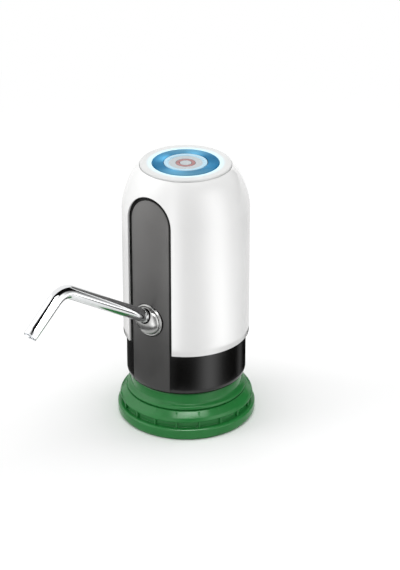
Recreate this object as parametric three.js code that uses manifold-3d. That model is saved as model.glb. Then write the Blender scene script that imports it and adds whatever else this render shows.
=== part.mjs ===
// Electric water jug pump on its screw-on neck adapter.
// Millimetres, +Z up, front of the pump towards -Y. The origin is on the pump's axis, in the plane
// where the neck nut's lower edge stands.

import * as THREE from 'three';
import { mergeVertices } from 'three/addons/utils/BufferGeometryUtils.js';
import Module from 'manifold-3d';

const wasm = await Module();
wasm.setup();

// Clearances
const fitGap = 0.3;
const turnGap = 0.4;
const buttonGap = 0.4;
const overrun = 2;

// Facets
const roundSides = 36;
const mediumSides = 20;
const smallSides = 12;
const tinySides = 8;
const pipeSides = 16;
const wireSides = 6;
const domeSteps = 7;
const innerDomeSteps = 4;
const footSteps = 3;
const escutcheonSteps = 5;
const archSteps = 14;
const bendSteps = 7;
const cornerSteps = 3;
const weldTolerance = 1e-4;

// Neck nut
const threadDepth = 1.2;
const threadPitch = 4.5;
const threadTurns = 1.4;
const nutHeight = 17;
const nutRadius = 42.2;
const nutEdgeBevel = 0.9;
const lowerRingHeight = 7;
const nutGrooveHeight = 4;
const nutGrooveDepth = 3.4;
const nutRimHeight = 2.6;
const nutRimInset = 1.4;
const nutShoulderWidth = 5.2;
const nutRibCount = 18;
const nutRibWidth = 1.3;
const nutRibInset = 0.7;
const nutSkirtWall = 2.5;
const nutSleeveWall = 2.4;
const nutWebThickness = 1.4;
const nutWebCount = 6;
const nutLipThickness = 2.4;

// Neck spigot and gasket
const threadInset = 3.2;
const waistInset = 6;
const boreInset = 8;
const flangeThickness = 1.8;
const gasketThickness = 1.5;
const shoulderHeight = 9.4;
const shoulderWidth = 6.5;
const beadWidth = 2.8;
const beadHeight = 3;
const shoulderFloor = 2.6;
const shoulderBevel = 0.7;
const spigotWall = 2.3;
const spigotHeight = 21.4;
const spigotBevel = 1;

// Lower housing
const housingRadius = 36.2;
const housingWall = 2.2;
const baseWall = 4.2;
const footRounding = 2.6;
const footHeight = 3.5;
const pocketDepth = 21.9;
const pocketLipThickness = 1.2;
const pocketLipGap = 1.7;
const deckThickness = 2.6;
const collarHeight = 9;
const tongueMargin = 3;
const panelInset = 1.5;
const panelThickness = 1;
const panelLift = 1.3;

// Neck sleeve
const sleeveWall = 3.9;
const sleeveRidgeDepth = 1;
const sleeveRidgeCount = 3;

// Outer shell
const topRoom = 27.8;
const shellGap = 27.4;
const shellWall = 1.6;
const shellEdgeBevel = 0.4;
const domeHeight = 27.3;
const domeTopRadius = 24.5;
const domeExponent = 1.6;
const topLedgeWidth = 3.7;
const topLedgeThickness = 1.6;
const archHalfWidth = 16.2;
const archSpringDrop = 28;
const archRise = 16.5;

// Top of the pump
const bezelThickness = 2.2;
const bezelSkirtDepth = 5;
const bezelWidth = 7.4;
const bezelDrop = 0.3;
const bezelBevel = 0.4;
const bezelStepWidth = 1.8;
const bezelStepThickness = 1.7;
const lightRingThickness = 3.3;
const lightRingWidth = 6.4;
const buttonRadius = 12.9;
const buttonThickness = 2.2;
const buttonRimWidth = 2.7;
const buttonDishDepth = 0.5;
const buttonFlangeWidth = 1.7;
const buttonFlangeThickness = 1.2;
const buttonTravel = 0.9;
const buttonStemRadius = 2;
const iconRadius = 5.7;
const iconWidth = 2;
const iconThickness = 0.6;

// Control board
const boardDepth = 9.2;
const switchSize = 6;
const switchHeight = 3.5;
const plungerRadius = 1.7;
const plungerHeight = 1;
const controlBoardInset = 13.2;
const boardThickness = 1.6;
const lampCount = 4;
const lampSize = 3;
const lampHeight = 1.1;

// Outlet
const outletHeight = 47.2;
const outletAxisInset = 3.2;
const outletAngle = 32.4;
const outletSeatInset = 1.2;
const escutcheonRadius = 10.2;
const escutcheonRim = 0.7;
const escutcheonTop = 4.7;
const escutcheonNeckRadius = 8.9;
const escutcheonNeckLength = 3.7;
const socketFlangeRadius = 10.4;
const socketFlangeThickness = 2.2;
const socketWall = 1.8;
const socketDepth = 20;
const socketFloor = 4.5;
const ferruleWall = 1.3;
const ferruleHead = 2.2;
const ferruleLength = 16;
const sealSection = 0.4;
const ferruleSealDepth = 6;
const spoutSealDepth = 10;

// Spout
const spoutRadius = 4;
const spoutWall = 0.6;
const spoutHoleGap = 0.6;
const spoutInsertion = 12.5;
const spoutRun = 91.9;
const spoutLegLength = 33.5;
const spoutBendRadius = 12.5;
const spoutBendAngle = 66;

// Hose barbs and inner tubes
const tubeRadius = 4;
const tubeWall = 1.1;
const barbRadius = 2.3;
const barbRidge = 0.3;
const barbBoreRadius = 1.5;
const barbLength = 7;
const hoseBarbRadius = 3.7;
const hoseBarbRidge = 0.5;
const hoseBarbBoreRadius = 2.5;
const hoseBarbLength = 14;
const fittingFlangeRadius = 6.4;
const fittingFlangeThickness = 1.6;
const fittingNeckRadius = 4.3;
const inletNutRadius = 6.4;
const inletNutHeight = 2.6;
const nutHexSides = 6;
const outletTubeLead = 10;

// Pump and motor
const pumpX = -14;
const pumpY = 3;
const pumpBase = 24.7;
const pumpRadius = 13.5;
const portX = 5;
const portY = 4;
const coverThickness = 5;
const coverBoreDepth = 3;
const valvePlateThickness = 3;
const diaphragmThickness = 1.4;
const cupCount = 3;
const cupCircleRadius = 6.4;
const cupRadius = 2.6;
const cupHeight = 3;
const cupTurn = 30;
const caseHeight = 19.4;
const caseWall = 2.6;
const caseRoof = 2;
const caseHoleRadius = 3.6;
const motorRadius = 12.2;
const motorLength = 26;
const motorWall = 1.2;
const motorBossRadius = 3.2;
const motorBossHeight = 1.8;
const motorCapHeight = 3.7;
const motorTerminalOffset = 7;
const motorTerminalHeight = 3;
const shaftRadius = 1;
const shaftHoleRadius = 1.4;
const shaftEngagement = 3.1;
const shaftTail = 1.5;
const armatureRadius = 8.4;
const armatureLength = 16;
const armatureOffset = 5;
const commutatorRadius = 3;
const armatureSlotCount = 3;
const armatureSlotWidth = 2.4;
const magnetThickness = 1.6;
const hubRadius = 5.5;
const hubHeight = 7;
const hubDrop = 3;
const wobbleTilt = 5;
const pinRadius = 0.8;
const pinTop = 10;
const wobbleRadius = 8.6;
const wobbleThickness = 2;
const wobbleHeight = 4.6;
const footClearance = 1;
const footPegRadius = 1.9;
const valveRadius = 2.6;
const valveThickness = 0.7;
const valveStemRadius = 0.7;
const screwCount = 3;
const pumpScrewRadius = 0.8;
const pumpScrewHeadRadius = 1.1;
const pumpScrewHeadHeight = 1.2;
const pumpScrewLength = 18;
const pumpScrewCircle = 12.1;

// Battery
const batteryInset = 15.2;
const batteryY = 5;
const batteryRadius = 9.2;
const batteryLength = 65;
const batteryBase = 7;
const batteryTerminalRadius = 2.8;
const batteryTerminalHeight = 1;

// Inner frame
const frameFloor = 2;
const frameWallX = 2;
const frameWall = 2;
const frameFront = -8;
const frameBackInset = 18.2;
const frameTopDrop = 6.4;
const frameTopInset = 6.2;
const postRadius = 2;
const postCount = 3;
const postInset = 3;
const postTurn = 90;
const cradleRim = 4;
const cradleWall = 1.4;
const motorRingHeight = 6;
const motorRingOffset = 8;
const shelfThickness = 2.2;
const shelfBoreRadius = 10.9;
const wireHoleRadius = 1.8;

// Deck screws
const deckScrewInset = 2.8;
const deckScrewAngles = [-60, 60, 180];
const deckScrewRadius = 1.4;
const deckScrewHeadRadius = 2.1;
const deckScrewHeadHeight = 1.5;
const deckScrewLength = 9;
const deckBossRadius = 3;
const deckBossHeight = 4;
const driveSlotWidth = 0.6;
const driveSlotDepth = 0.6;

// Charging port
const portHeight = 40.2;
const portWidth = 14;
const portTall = 9;
const portCorner = 2;
const portPadWidth = 7.4;
const portPadTall = 2.6;
const portPadDepth = 1;
const portTabWidth = 5;
const portTabDepth = 0.7;
const portTabTall = 1.2;
const usbWidth = 8.2;
const usbTall = 3.2;
const usbDepth = 6.4;
const usbWall = 0.4;
const usbTongueTall = 0.7;
const usbTongueInset = 1;
const usbBackWall = 1;
const chargeBoardWidth = 16;
const chargeBoardLength = 15;
const chargeBoardInset = 1.2;
const chargeShelfThickness = 2;
const chargePillar = 3;

// Leads
const wireRadius = 0.65;
const wireLead = 9;
const wireSteps = 8;
const sideLeadX = 8;
const sideLeadY = -5.5;

// Widths that follow from the sizes above
const spigotRadius = housingRadius - baseWall - sleeveWall - fitGap * 2;
const neckThreadRadius = spigotRadius - threadInset;
const waistRadius = spigotRadius - waistInset;
const spigotBoreRadius = spigotRadius - boreInset;
const shoulderRadius = spigotRadius + shoulderWidth;
const nutTopRadius = nutRadius - nutShoulderWidth;
const shellRadius = housingRadius + fitGap + shellWall;
const bezelInnerRadius = buttonRadius + buttonGap + lightRingWidth + fitGap;
const topOpeningRadius = bezelInnerRadius + bezelWidth;
const buttonDishRadius = buttonRadius - buttonRimWidth;
const lampCircleRadius = buttonRadius + buttonGap + lightRingWidth / 2;
const controlBoardRadius = housingRadius - controlBoardInset;
const postCircle = controlBoardRadius - postInset;
const deckScrewCircle = spigotRadius - spigotWall - deckScrewInset;

// Heights that follow from the sizes above
const lipBottom = nutHeight - nutLipThickness;
const flangeTop = lipBottom - fitGap;
const flangeBottom = flangeTop - flangeThickness;
const gasketTop = flangeBottom - fitGap;
const gasketBottom = gasketTop - gasketThickness;
const shoulderBottom = nutHeight + fitGap;
const shoulderTop = shoulderBottom + shoulderHeight;
const spigotTop = shoulderTop + spigotHeight;
const unitBottom = shoulderTop + fitGap;
const deckBottom = unitBottom + pocketDepth;
const deckTop = deckBottom + deckThickness;
const collarTop = deckTop + collarHeight;
const shellBottom = unitBottom + shellGap;
const outletZ = unitBottom + outletHeight;
const frameBottom = deckTop + fitGap;
const coverBottom = deckTop + pumpBase;
const coverTop = coverBottom + coverThickness;
const valvePlateBottom = coverTop + fitGap;
const valvePlateTop = valvePlateBottom + valvePlateThickness;
const diaphragmBottom = valvePlateTop + fitGap;
const diaphragmTop = diaphragmBottom + diaphragmThickness;
const caseBottom = diaphragmTop + fitGap;
const caseTop = caseBottom + caseHeight;
const motorBottom = caseTop + fitGap;
const motorTop = motorBottom + motorLength;
const motorCapBottom = motorTop + fitGap;
const motorCapTop = motorCapBottom + motorCapHeight;
const unitTop = motorCapTop + topRoom;
const domeStart = unitTop - domeHeight;
const archSpringZ = unitTop - archSpringDrop;
const tongueTop = archSpringZ + archRise + tongueMargin;
const tongueInset = shellWall + fitGap;
const bezelTop = unitTop - bezelDrop;
const topLedge = bezelTop - bezelThickness - fitGap;
const batteryBottom = deckTop + batteryBase;
const batteryTop = batteryBottom + batteryLength;
const portZ = unitBottom + portHeight;
const controlBoardTop = unitTop - boardDepth;
const controlBoardBottom = controlBoardTop - boardThickness;
const frameTop = controlBoardBottom - frameTopDrop;
const switchBottom = controlBoardTop + fitGap;
const switchTop = switchBottom + switchHeight;
const plungerTop = switchTop + plungerHeight;
const stemBottom = plungerTop + fitGap;
const lightRingBottom = bezelTop - bezelSkirtDepth + bezelStepThickness + fitGap;
const cupTop = diaphragmTop + cupHeight;
const hubTop = motorBottom - hubDrop;
const hubBottom = hubTop - hubHeight;
const shaftBottom = hubTop - shaftEngagement;
const shaftTop = motorCapBottom + shaftTail;
const armatureBottom = motorBottom + armatureOffset;
const armatureTop = armatureBottom + armatureLength;
const chargeBoardTop = portZ - usbTall / 2 - fitGap;
const chargeBoardBottom = chargeBoardTop - boardThickness;
const inletNutBottom = deckTop + fitGap;
const inletNutTop = inletNutBottom + inletNutHeight;

// Places that follow from the sizes above
const outletAxisDepth = housingRadius - outletAxisInset;
const outletSeatDepth = housingRadius - outletSeatInset;
const batteryX = housingRadius - batteryInset;
const frameBack = housingRadius - frameBackInset;
const inletX = pumpX + portX;
const inletY = pumpY + portY;
const ferruleRadius = spoutRadius + fitGap + ferruleWall;
const outletBarbLevel = -socketDepth + socketFloor / 2;
const usbFront = shellRadius - shellWall - portPadDepth - fitGap;
const chargeBoardBack = usbFront - chargeBoardInset;

// Materials
function material(color, roughness, metalness = 0) {
  return new THREE.MeshStandardMaterial({ color, roughness, metalness });
}

const whiteShell = material(0xf4f4f2, 0.25);
const panelGrey = material(0x5c5957, 0.45);
const blackPlastic = material(0x2b2928, 0.3);
const greenPlastic = material(0x2f7a3c, 0.35);
const greyPlastic = material(0xd8dada, 0.35);
const frameGrey = material(0x8d9194, 0.6);
const blueLight = material(0x1f74b4, 0.3);
const iconRed = material(0xb4605c, 0.5);
const polishedSteel = material(0xd4d6d8, 0.1, 1);
const satinMetal = material(0xb6b8ba, 0.3, 1);
const silicone = material(0xdfe3e2, 0.6);
const darkRubber = material(0x303234, 0.8);
const boardGreen = material(0x1f5a3a, 0.5);
const batteryBlue = material(0x2d6fae, 0.4);
const copper = material(0xb87440, 0.35, 1);
const ferrite = material(0x3a3a3c, 0.7);
const leadRed = material(0xc02c28, 0.5);
const leadBlack = material(0x1c1c1c, 0.5);

// Solids: every shape becomes one closed body with its faces pointing out
function toSolid(geometry) {
  const source = geometry.clone();
  source.deleteAttribute('normal');
  source.deleteAttribute('uv');
  const welded = mergeVertices(source, weldTolerance);
  const corners = welded.attributes.position.array;
  const faces = [];
  let volume = 0;
  for (let i = 0; i < welded.index.count; i += 3) {
    const [a, b, c] = [0, 1, 2].map((k) => welded.index.getX(i + k));
    if (a === b || b === c || c === a) continue;
    faces.push([a, b, c]);
    const [pa, pb, pc] = [a, b, c].map((k) => new THREE.Vector3().fromArray(corners, k * 3));
    volume += pa.dot(pb.cross(pc));
  }
  const triangles = faces.flatMap(([a, b, c]) => (volume < 0 ? [a, c, b] : [a, b, c]));
  return new wasm.Manifold(new wasm.Mesh({
    numProp: 3,
    vertProperties: new Float32Array(corners),
    triVerts: new Uint32Array(triangles),
  }));
}

function toGeometry(solid) {
  const mesh = solid.getMesh();
  const geometry = new THREE.BufferGeometry();
  geometry.setAttribute('position', new THREE.BufferAttribute(mesh.vertProperties, mesh.numProp));
  geometry.setIndex(new THREE.BufferAttribute(mesh.triVerts, 1));
  geometry.computeVertexNormals();
  return geometry;
}

function join(first, ...others) {
  return others.reduce((whole, next) => whole.add(next), first);
}

function cut(first, ...others) {
  return others.reduce((whole, next) => whole.subtract(next), first);
}

function part(name, finish, solid) {
  const mesh = new THREE.Mesh(toGeometry(solid), finish);
  mesh.name = name;
  return mesh;
}

// Shapes. A profile is a list of [radius, height] pairs, turned about +Z.
function turned(profile, sides = roundSides) {
  const points = profile.map(([radius, height]) => new THREE.Vector2(radius, height));
  return toSolid(new THREE.LatheGeometry(points, sides).rotateX(Math.PI / 2));
}

function ring(profile, sides = roundSides) {
  return turned([...profile, profile[0]], sides);
}

function rod(radius, bottom, top, sides = smallSides) {
  return turned([[0, bottom], [radius, bottom], [radius, top], [0, top]], sides);
}

function tubeRing(inner, outer, bottom, top, sides = smallSides) {
  return ring([[inner, bottom], [outer, bottom], [outer, top], [inner, top]], sides);
}

function box(low, high) {
  const size = high.map((value, i) => value - low[i]);
  const middle = high.map((value, i) => (value + low[i]) / 2);
  return toSolid(new THREE.BoxGeometry(...size).translate(...middle));
}

// An outline in x and z, run along Y from one depth to another
function runAlongY(shape, start, end, curveSegments = cornerSteps) {
  const options = { depth: end - start, bevelEnabled: false, curveSegments };
  const geometry = new THREE.ExtrudeGeometry(shape, options);
  return toSolid(geometry.rotateX(Math.PI / 2).translate(0, end, 0));
}

function roundedRectangle(width, height, corner, middleX = 0, middleY = 0) {
  const radius = Math.min(corner, width / 2, height / 2);
  const [left, right] = [middleX - width / 2, middleX + width / 2];
  const [low, high] = [middleY - height / 2, middleY + height / 2];
  const shape = new THREE.Shape();
  shape.absarc(right - radius, high - radius, radius, 0, Math.PI / 2);
  shape.absarc(left + radius, high - radius, radius, Math.PI / 2, Math.PI);
  shape.absarc(left + radius, low + radius, radius, Math.PI, Math.PI * 1.5);
  shape.absarc(right - radius, low + radius, radius, Math.PI * 1.5, Math.PI * 2);
  shape.closePath();
  return shape;
}

function moved(solid, x, y, z) {
  return solid.translate([x, y, z]);
}

function turnedAbout(solid, angle) {
  return solid.rotate([0, 0, angle]);
}

// Copies of a solid, spaced evenly round +Z
function around(count, make, start = 0) {
  return Array.from({ length: count }, (_, i) => turnedAbout(make(i), start + (360 / count) * i));
}

// A curve whose rings lie where they are needed: at the ends of straight runs and in the bends
class RingedCurve extends THREE.Curve {
  constructor(base, stops) {
    super();
    this.base = base;
    this.stops = stops;
  }

  share(u) {
    const place = u * (this.stops.length - 1);
    const index = Math.min(Math.floor(place), this.stops.length - 2);
    return THREE.MathUtils.lerp(this.stops[index], this.stops[index + 1], place - index);
  }

  getPoint(u, target) { return this.base.getPointAt(this.share(u), target); }

  getPointAt(u, target) { return this.getPoint(u, target); }

  getTangentAt(u, target) { return this.base.getTangentAt(this.share(u), target); }
}

function discShape(radius, sides) {
  const corners = Array.from({ length: sides }, (_, i) => {
    const angle = (2 * Math.PI * i) / sides;
    return new THREE.Vector2(radius * Math.cos(angle), radius * Math.sin(angle));
  });
  return new THREE.Shape(corners);
}

// A rod, or a tube where a bore is given, along a path of lines and curves
function swept(path, radius, bore, sides, steps) {
  const shape = discShape(radius, sides);
  if (bore > 0) shape.holes.push(discShape(bore, sides));
  const options = { steps, bevelEnabled: false, extrudePath: path };
  return toSolid(new THREE.ExtrudeGeometry(shape, options));
}

// The stops that give each curved stretch of a path its steps, and each line none
function ringStops(path, curvedSteps) {
  const lengths = path.getCurveLengths();
  const total = lengths[lengths.length - 1];
  const stops = [0];
  path.curves.forEach((curve, i) => {
    const start = i === 0 ? 0 : lengths[i - 1];
    const steps = curve.isLineCurve3 ? 1 : curvedSteps;
    for (let k = 1; k <= steps; k += 1) {
      stops.push((start + ((lengths[i] - start) * k) / steps) / total);
    }
  });
  return stops;
}

function sweptPath(path, radius, bore, sides, curvedSteps) {
  const stops = ringStops(path, curvedSteps);
  return swept(new RingedCurve(path, stops), radius, bore, sides, stops.length - 1);
}

// The dome: a superellipse shoulder between the side wall and the flat top
function domeHeightAt(radius, inset) {
  const across = shellRadius - domeTopRadius - inset;
  const share = Math.min(Math.max((radius - domeTopRadius) / across, 0), 1);
  return domeStart + (domeHeight - inset) * (1 - share ** domeExponent) ** (1 / domeExponent);
}

function domeProfile(inset, topHeight, steps = domeSteps) {
  const rise = domeHeight - inset;
  const across = shellRadius - domeTopRadius - inset;
  const endShare = ((topHeight - domeStart) / rise) ** (domeExponent / 2);
  const endAngle = Math.asin(Math.min(endShare, 1));
  return Array.from({ length: steps + 1 }, (_, i) => {
    const angle = (endAngle * i) / steps;
    const radius = domeTopRadius + across * Math.cos(angle) ** (2 / domeExponent);
    return [radius, domeStart + rise * Math.sin(angle) ** (2 / domeExponent)];
  });
}

// A pan-headed screw pointing up, its head's underside at height zero
function screw(radius, length, headRadius, headHeight) {
  const bevel = headHeight / 3;
  const body = turned([
    [0, -headHeight], [headRadius - bevel, -headHeight], [headRadius, -headHeight + bevel],
    [headRadius, 0], [radius, 0], [radius, length - radius], [0, length],
  ], tinySides);
  const slotEnd = -headHeight + driveSlotDepth;
  const half = driveSlotWidth / 2;
  const slots = [
    box([-headRadius / 2, -half, -headHeight - overrun], [headRadius / 2, half, slotEnd]),
    box([-half, -headRadius / 2, -headHeight - overrun], [half, headRadius / 2, slotEnd]),
  ];
  return cut(body, ...slots);
}

// A hose barb pointing up from a base height, with ridges, as an outline of [radius, height]
function barbOutline(radius, ridge, base, length, ridgeCount = 3) {
  const step = length / ridgeCount;
  const outline = [[radius, base]];
  for (let i = 0; i < ridgeCount; i += 1) {
    const start = base + step * i;
    outline.push([radius + ridge, start + step / 4], [radius, start + step]);
  }
  return outline;
}

// Neck: the union nut that screws on the jug
function neckNut() {
  const rimRadius = nutRadius - nutRimInset;
  const grooveRadius = nutRadius - nutGrooveDepth;
  const grooveTop = lowerRingHeight + nutGrooveHeight;
  const rimTop = grooveTop + nutRimHeight;
  const lipRadius = waistRadius + turnGap;
  const body = ring([
    [neckThreadRadius, 0],
    [nutRadius - nutEdgeBevel, 0],
    [nutRadius, nutEdgeBevel * 2],
    [nutRadius, lowerRingHeight - nutEdgeBevel],
    [nutRadius - nutEdgeBevel, lowerRingHeight],
    [grooveRadius, lowerRingHeight],
    [grooveRadius, grooveTop],
    [rimRadius - nutEdgeBevel / 2, grooveTop],
    [rimRadius, grooveTop + nutEdgeBevel],
    [rimRadius - nutEdgeBevel, rimTop],
    [nutTopRadius, nutHeight],
    [lipRadius, nutHeight],
    [lipRadius, lipBottom],
    [neckThreadRadius, lipBottom],
  ]);
  const hollowInner = neckThreadRadius + nutSleeveWall;
  const hollowOuter = grooveRadius - nutSkirtWall;
  const hollowTop = lipBottom - threadDepth;
  const hollow = ring([
    [hollowInner, -overrun],
    [hollowOuter, -overrun],
    [hollowOuter, grooveTop],
    [nutTopRadius - nutSkirtWall, hollowTop],
    [hollowInner, hollowTop],
  ]);
  const webs = around(nutWebCount, () => box(
    [hollowInner - threadDepth / 2, -nutWebThickness / 2, nutEdgeBevel],
    [hollowOuter + nutSkirtWall / 2, nutWebThickness / 2, hollowTop + threadDepth / 2],
  ));
  return part('neck_nut', greenPlastic, join(cut(body, hollow), ...webs, neckThread(), ...nutRibs()));
}

// Ribs that cross the nut's groove and its sloping shoulder
function nutRibs() {
  const half = nutRibWidth / 2;
  const grooveTop = lowerRingHeight + nutGrooveHeight;
  const rimTop = grooveTop + nutRimHeight;
  const ribRadius = nutRadius - nutRimInset - nutRibInset;
  const shoulderOutline = new THREE.Shape([
    new THREE.Vector2(nutTopRadius - nutSkirtWall, nutHeight - nutLipThickness),
    new THREE.Vector2(ribRadius, rimTop - nutEdgeBevel),
    new THREE.Vector2(ribRadius, rimTop),
    new THREE.Vector2(nutTopRadius + nutRibInset / 2, nutHeight - nutRibInset / 3),
    new THREE.Vector2(nutTopRadius - nutSkirtWall, nutHeight - nutRibInset / 3),
  ]);
  const shoulderRib = runAlongY(shoulderOutline, -half, half);
  const grooveRib = box(
    [nutRadius - nutGrooveDepth - nutSkirtWall / 2, -half, lowerRingHeight - nutEdgeBevel],
    [ribRadius, half, grooveTop + nutEdgeBevel],
  );
  return around(nutRibCount, () => join(shoulderRib, grooveRib));
}

// The thread's helical ridge
function neckThread() {
  const start = threadPitch / 2;
  class Helix extends THREE.Curve {
    getPoint(t, target = new THREE.Vector3()) {
      const angle = 2 * Math.PI * threadTurns * t;
      const height = start + threadPitch * threadTurns * t;
      return target.set(neckThreadRadius * Math.cos(angle), neckThreadRadius * Math.sin(angle), height);
    }
  }
  return swept(new Helix(), threadDepth, 0, wireSides, Math.ceil(threadTurns * mediumSides));
}

// Neck: the spigot that the pump stands on
function neckSpigot() {
  const floorTop = shoulderBottom + shoulderFloor;
  const beadRadius = shoulderRadius + beadWidth;
  const innerRadius = spigotRadius - spigotWall;
  const flangeRadius = neckThreadRadius - turnGap;
  return part('neck_spigot', greenPlastic, ring([
    [spigotBoreRadius, flangeBottom],
    [flangeRadius, flangeBottom],
    [flangeRadius, flangeTop],
    [waistRadius, flangeTop],
    [waistRadius, shoulderBottom],
    [beadRadius - shoulderBevel, shoulderBottom],
    [beadRadius, shoulderBottom + beadHeight / 4],
    [beadRadius - beadWidth / 4, shoulderBottom + beadHeight * 2 / 3],
    [shoulderRadius + beadWidth / 4, shoulderBottom + beadHeight],
    [shoulderRadius, shoulderBottom + beadHeight * 4 / 3],
    [shoulderRadius - shoulderBevel / 4, shoulderTop - shoulderBevel],
    [shoulderRadius - shoulderBevel, shoulderTop],
    [spigotRadius, shoulderTop],
    [spigotRadius, spigotTop - spigotBevel],
    [spigotRadius - spigotBevel, spigotTop],
    [innerRadius, spigotTop],
    [innerRadius, floorTop],
    [spigotBoreRadius, floorTop],
  ]));
}

function neckGasket() {
  const outer = neckThreadRadius - turnGap;
  const shape = tubeRing(spigotBoreRadius + fitGap, outer, gasketBottom, gasketTop, roundSides);
  return part('neck_gasket', darkRubber, shape);
}

// The arched outline of the front opening, in x and z, widened by a margin
function archShape(bottom, margin) {
  const half = archHalfWidth + margin;
  const shape = new THREE.Shape();
  shape.moveTo(-half, bottom);
  shape.lineTo(half, bottom);
  shape.lineTo(half, archSpringZ);
  shape.absellipse(0, archSpringZ, half, archRise + margin, 0, Math.PI);
  shape.closePath();
  return shape;
}

// Housing: base ring, deck and front tongue in one moulding
function lowerHousing() {
  const pocketRadius = housingRadius - baseWall;
  const pocketLipRadius = spigotRadius + pocketLipGap;
  const innerRadius = housingRadius - housingWall;
  const base = turned([
    [0, deckBottom],
    [pocketRadius, deckBottom],
    [pocketRadius, unitBottom + pocketLipThickness],
    [pocketLipRadius, unitBottom + pocketLipThickness],
    [pocketLipRadius, unitBottom],
    ...footProfile(),
    [housingRadius, collarTop],
    [innerRadius, collarTop],
    [innerRadius, deckTop],
    [0, deckTop],
  ]);
  const innerInset = tongueInset + housingWall;
  const mantle = ring([
    [housingRadius, deckTop],
    ...domeProfile(tongueInset, tongueTop, innerDomeSteps),
    ...domeProfile(innerInset, tongueTop, innerDomeSteps).reverse(),
    [innerRadius, deckTop],
  ]);
  const front = runAlongY(archShape(deckTop, tongueMargin), -shellRadius, 0, archSteps);
  const whole = join(base, mantle.intersect(front));
  const seat = alongFront(rod(escutcheonRadius + fitGap, outletSeatDepth, shellRadius, mediumSides));
  const hole = alongFront(rod(escutcheonNeckRadius + fitGap, 0, shellRadius, mediumSides));
  const outletCuts = [seat, hole].map((solid) => solid.intersect(
    box([-shellRadius, -shellRadius, deckTop], [shellRadius, -innerRadius / 2, tongueTop]),
  ));
  const inletHole = moved(
    rod(fittingNeckRadius + fitGap, deckBottom - overrun, deckTop + overrun), inletX, inletY, 0,
  );
  const screwHoles = deckScrewPlaces().map(([x, y]) => moved(
    rod(deckScrewRadius + fitGap, deckBottom - overrun, deckTop + overrun, tinySides), x, y, 0,
  ));
  const recessInset = tongueInset + panelThickness + fitGap;
  const recessBottom = unitBottom + panelLift - fitGap;
  const recess = ring([
    [shellRadius, recessBottom],
    [shellRadius, tongueTop],
    ...domeProfile(recessInset, tongueTop, innerDomeSteps).reverse(),
    [shellRadius - recessInset, recessBottom],
  ]).intersect(runAlongY(archShape(recessBottom, fitGap - panelInset), -shellRadius, 0, archSteps));
  const cuts = [...outletCuts, recess, inletHole, ...screwHoles];
  return part('lower_housing', blackPlastic, cut(whole, ...cuts));
}

// The base ring's rounded foot
function footProfile() {
  const footRadius = housingRadius - footRounding;
  return Array.from({ length: footSteps + 1 }, (_, i) => {
    const angle = (Math.PI / 2) * (i / footSteps);
    return [
      footRadius + footRounding * Math.sin(angle),
      unitBottom + footHeight * (1 - Math.cos(angle)),
    ];
  });
}

// Housing: the grey panel, set flush in the front of the tongue and the base ring
function frontPanel() {
  const bottom = unitBottom + panelLift;
  const skin = ring([
    ...footProfile(),
    ...domeProfile(tongueInset, tongueTop, innerDomeSteps),
    ...domeProfile(tongueInset + panelThickness, tongueTop, innerDomeSteps).reverse(),
    [housingRadius - panelThickness, bottom],
  ]);
  const outline = runAlongY(archShape(bottom, -panelInset), -shellRadius, 0, archSteps);
  const seat = alongFront(rod(escutcheonRadius + fitGap, 0, shellRadius, mediumSides));
  return part('front_panel', panelGrey, cut(skin.intersect(outline), seat));
}

// Turns a solid that stands along +Z so that it points to the front, at the outlet's height
function alongFront(solid) {
  return moved(solid.rotate([90, 0, 0]), 0, 0, outletZ);
}

function neckSleeve() {
  const inner = spigotRadius + fitGap;
  const outer = inner + sleeveWall;
  const bottom = unitBottom + pocketLipThickness + fitGap;
  const top = deckBottom - fitGap;
  const step = (top - bottom) / sleeveRidgeCount;
  const ridges = Array.from({ length: sleeveRidgeCount }, (_, i) => {
    const start = top - step * i;
    return [
      [inner + sleeveRidgeDepth, start - step / 8],
      [inner, start - step / 2],
      [inner + sleeveRidgeDepth, start - step * 7 / 8],
    ];
  }).flat();
  return part('neck_sleeve', silicone, ring([[outer, bottom], [outer, top], ...ridges]));
}

// Housing: the white shell
function outerShell() {
  const outerRimZ = domeHeightAt(topOpeningRadius, 0);
  const ledgeRadius = topOpeningRadius - topLedgeWidth;
  const ledgeBottom = topLedge - topLedgeThickness;
  const body = ring([
    [shellRadius - shellEdgeBevel, shellBottom],
    [shellRadius, shellBottom + shellEdgeBevel],
    ...domeProfile(0, outerRimZ),
    [topOpeningRadius, topLedge],
    [ledgeRadius, topLedge],
    [ledgeRadius, ledgeBottom],
    ...domeProfile(shellWall, ledgeBottom, innerDomeSteps).reverse(),
    [shellRadius - shellWall, shellBottom],
  ]);
  const arch = runAlongY(archShape(shellBottom - overrun, 0), -shellRadius - overrun, 0, archSteps);
  const portShape = roundedRectangle(portWidth, portTall, portCorner, 0, portZ);
  const port = runAlongY(portShape, 0, shellRadius + overrun);
  return part('outer_shell', whiteShell, cut(body, arch, port));
}

// Top: the grey ring, which also carries the light ring on its inner step
function topBezel() {
  const outer = topOpeningRadius - fitGap;
  const plateBottom = bezelTop - bezelThickness;
  const skirtRadius = topOpeningRadius - topLedgeWidth - fitGap;
  const skirtBottom = bezelTop - bezelSkirtDepth;
  const stepRadius = bezelInnerRadius - bezelStepWidth;
  return part('top_bezel', greyPlastic, ring([
    [bezelInnerRadius, skirtBottom + bezelStepThickness],
    [bezelInnerRadius, bezelTop],
    [outer - bezelBevel, bezelTop],
    [outer, bezelTop - bezelBevel],
    [outer, plateBottom],
    [skirtRadius, plateBottom],
    [skirtRadius, skirtBottom],
    [stepRadius, skirtBottom],
    [stepRadius, skirtBottom + bezelStepThickness],
  ]));
}

function lightRing() {
  const top = lightRingBottom + lightRingThickness;
  const inner = buttonRadius + buttonGap;
  const outer = bezelInnerRadius - fitGap;
  return part('light_ring', blueLight, ring([
    [inner, lightRingBottom],
    [outer, lightRingBottom],
    [outer, top - bezelBevel],
    [outer - bezelBevel, top],
    [inner, top],
  ]));
}

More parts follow.
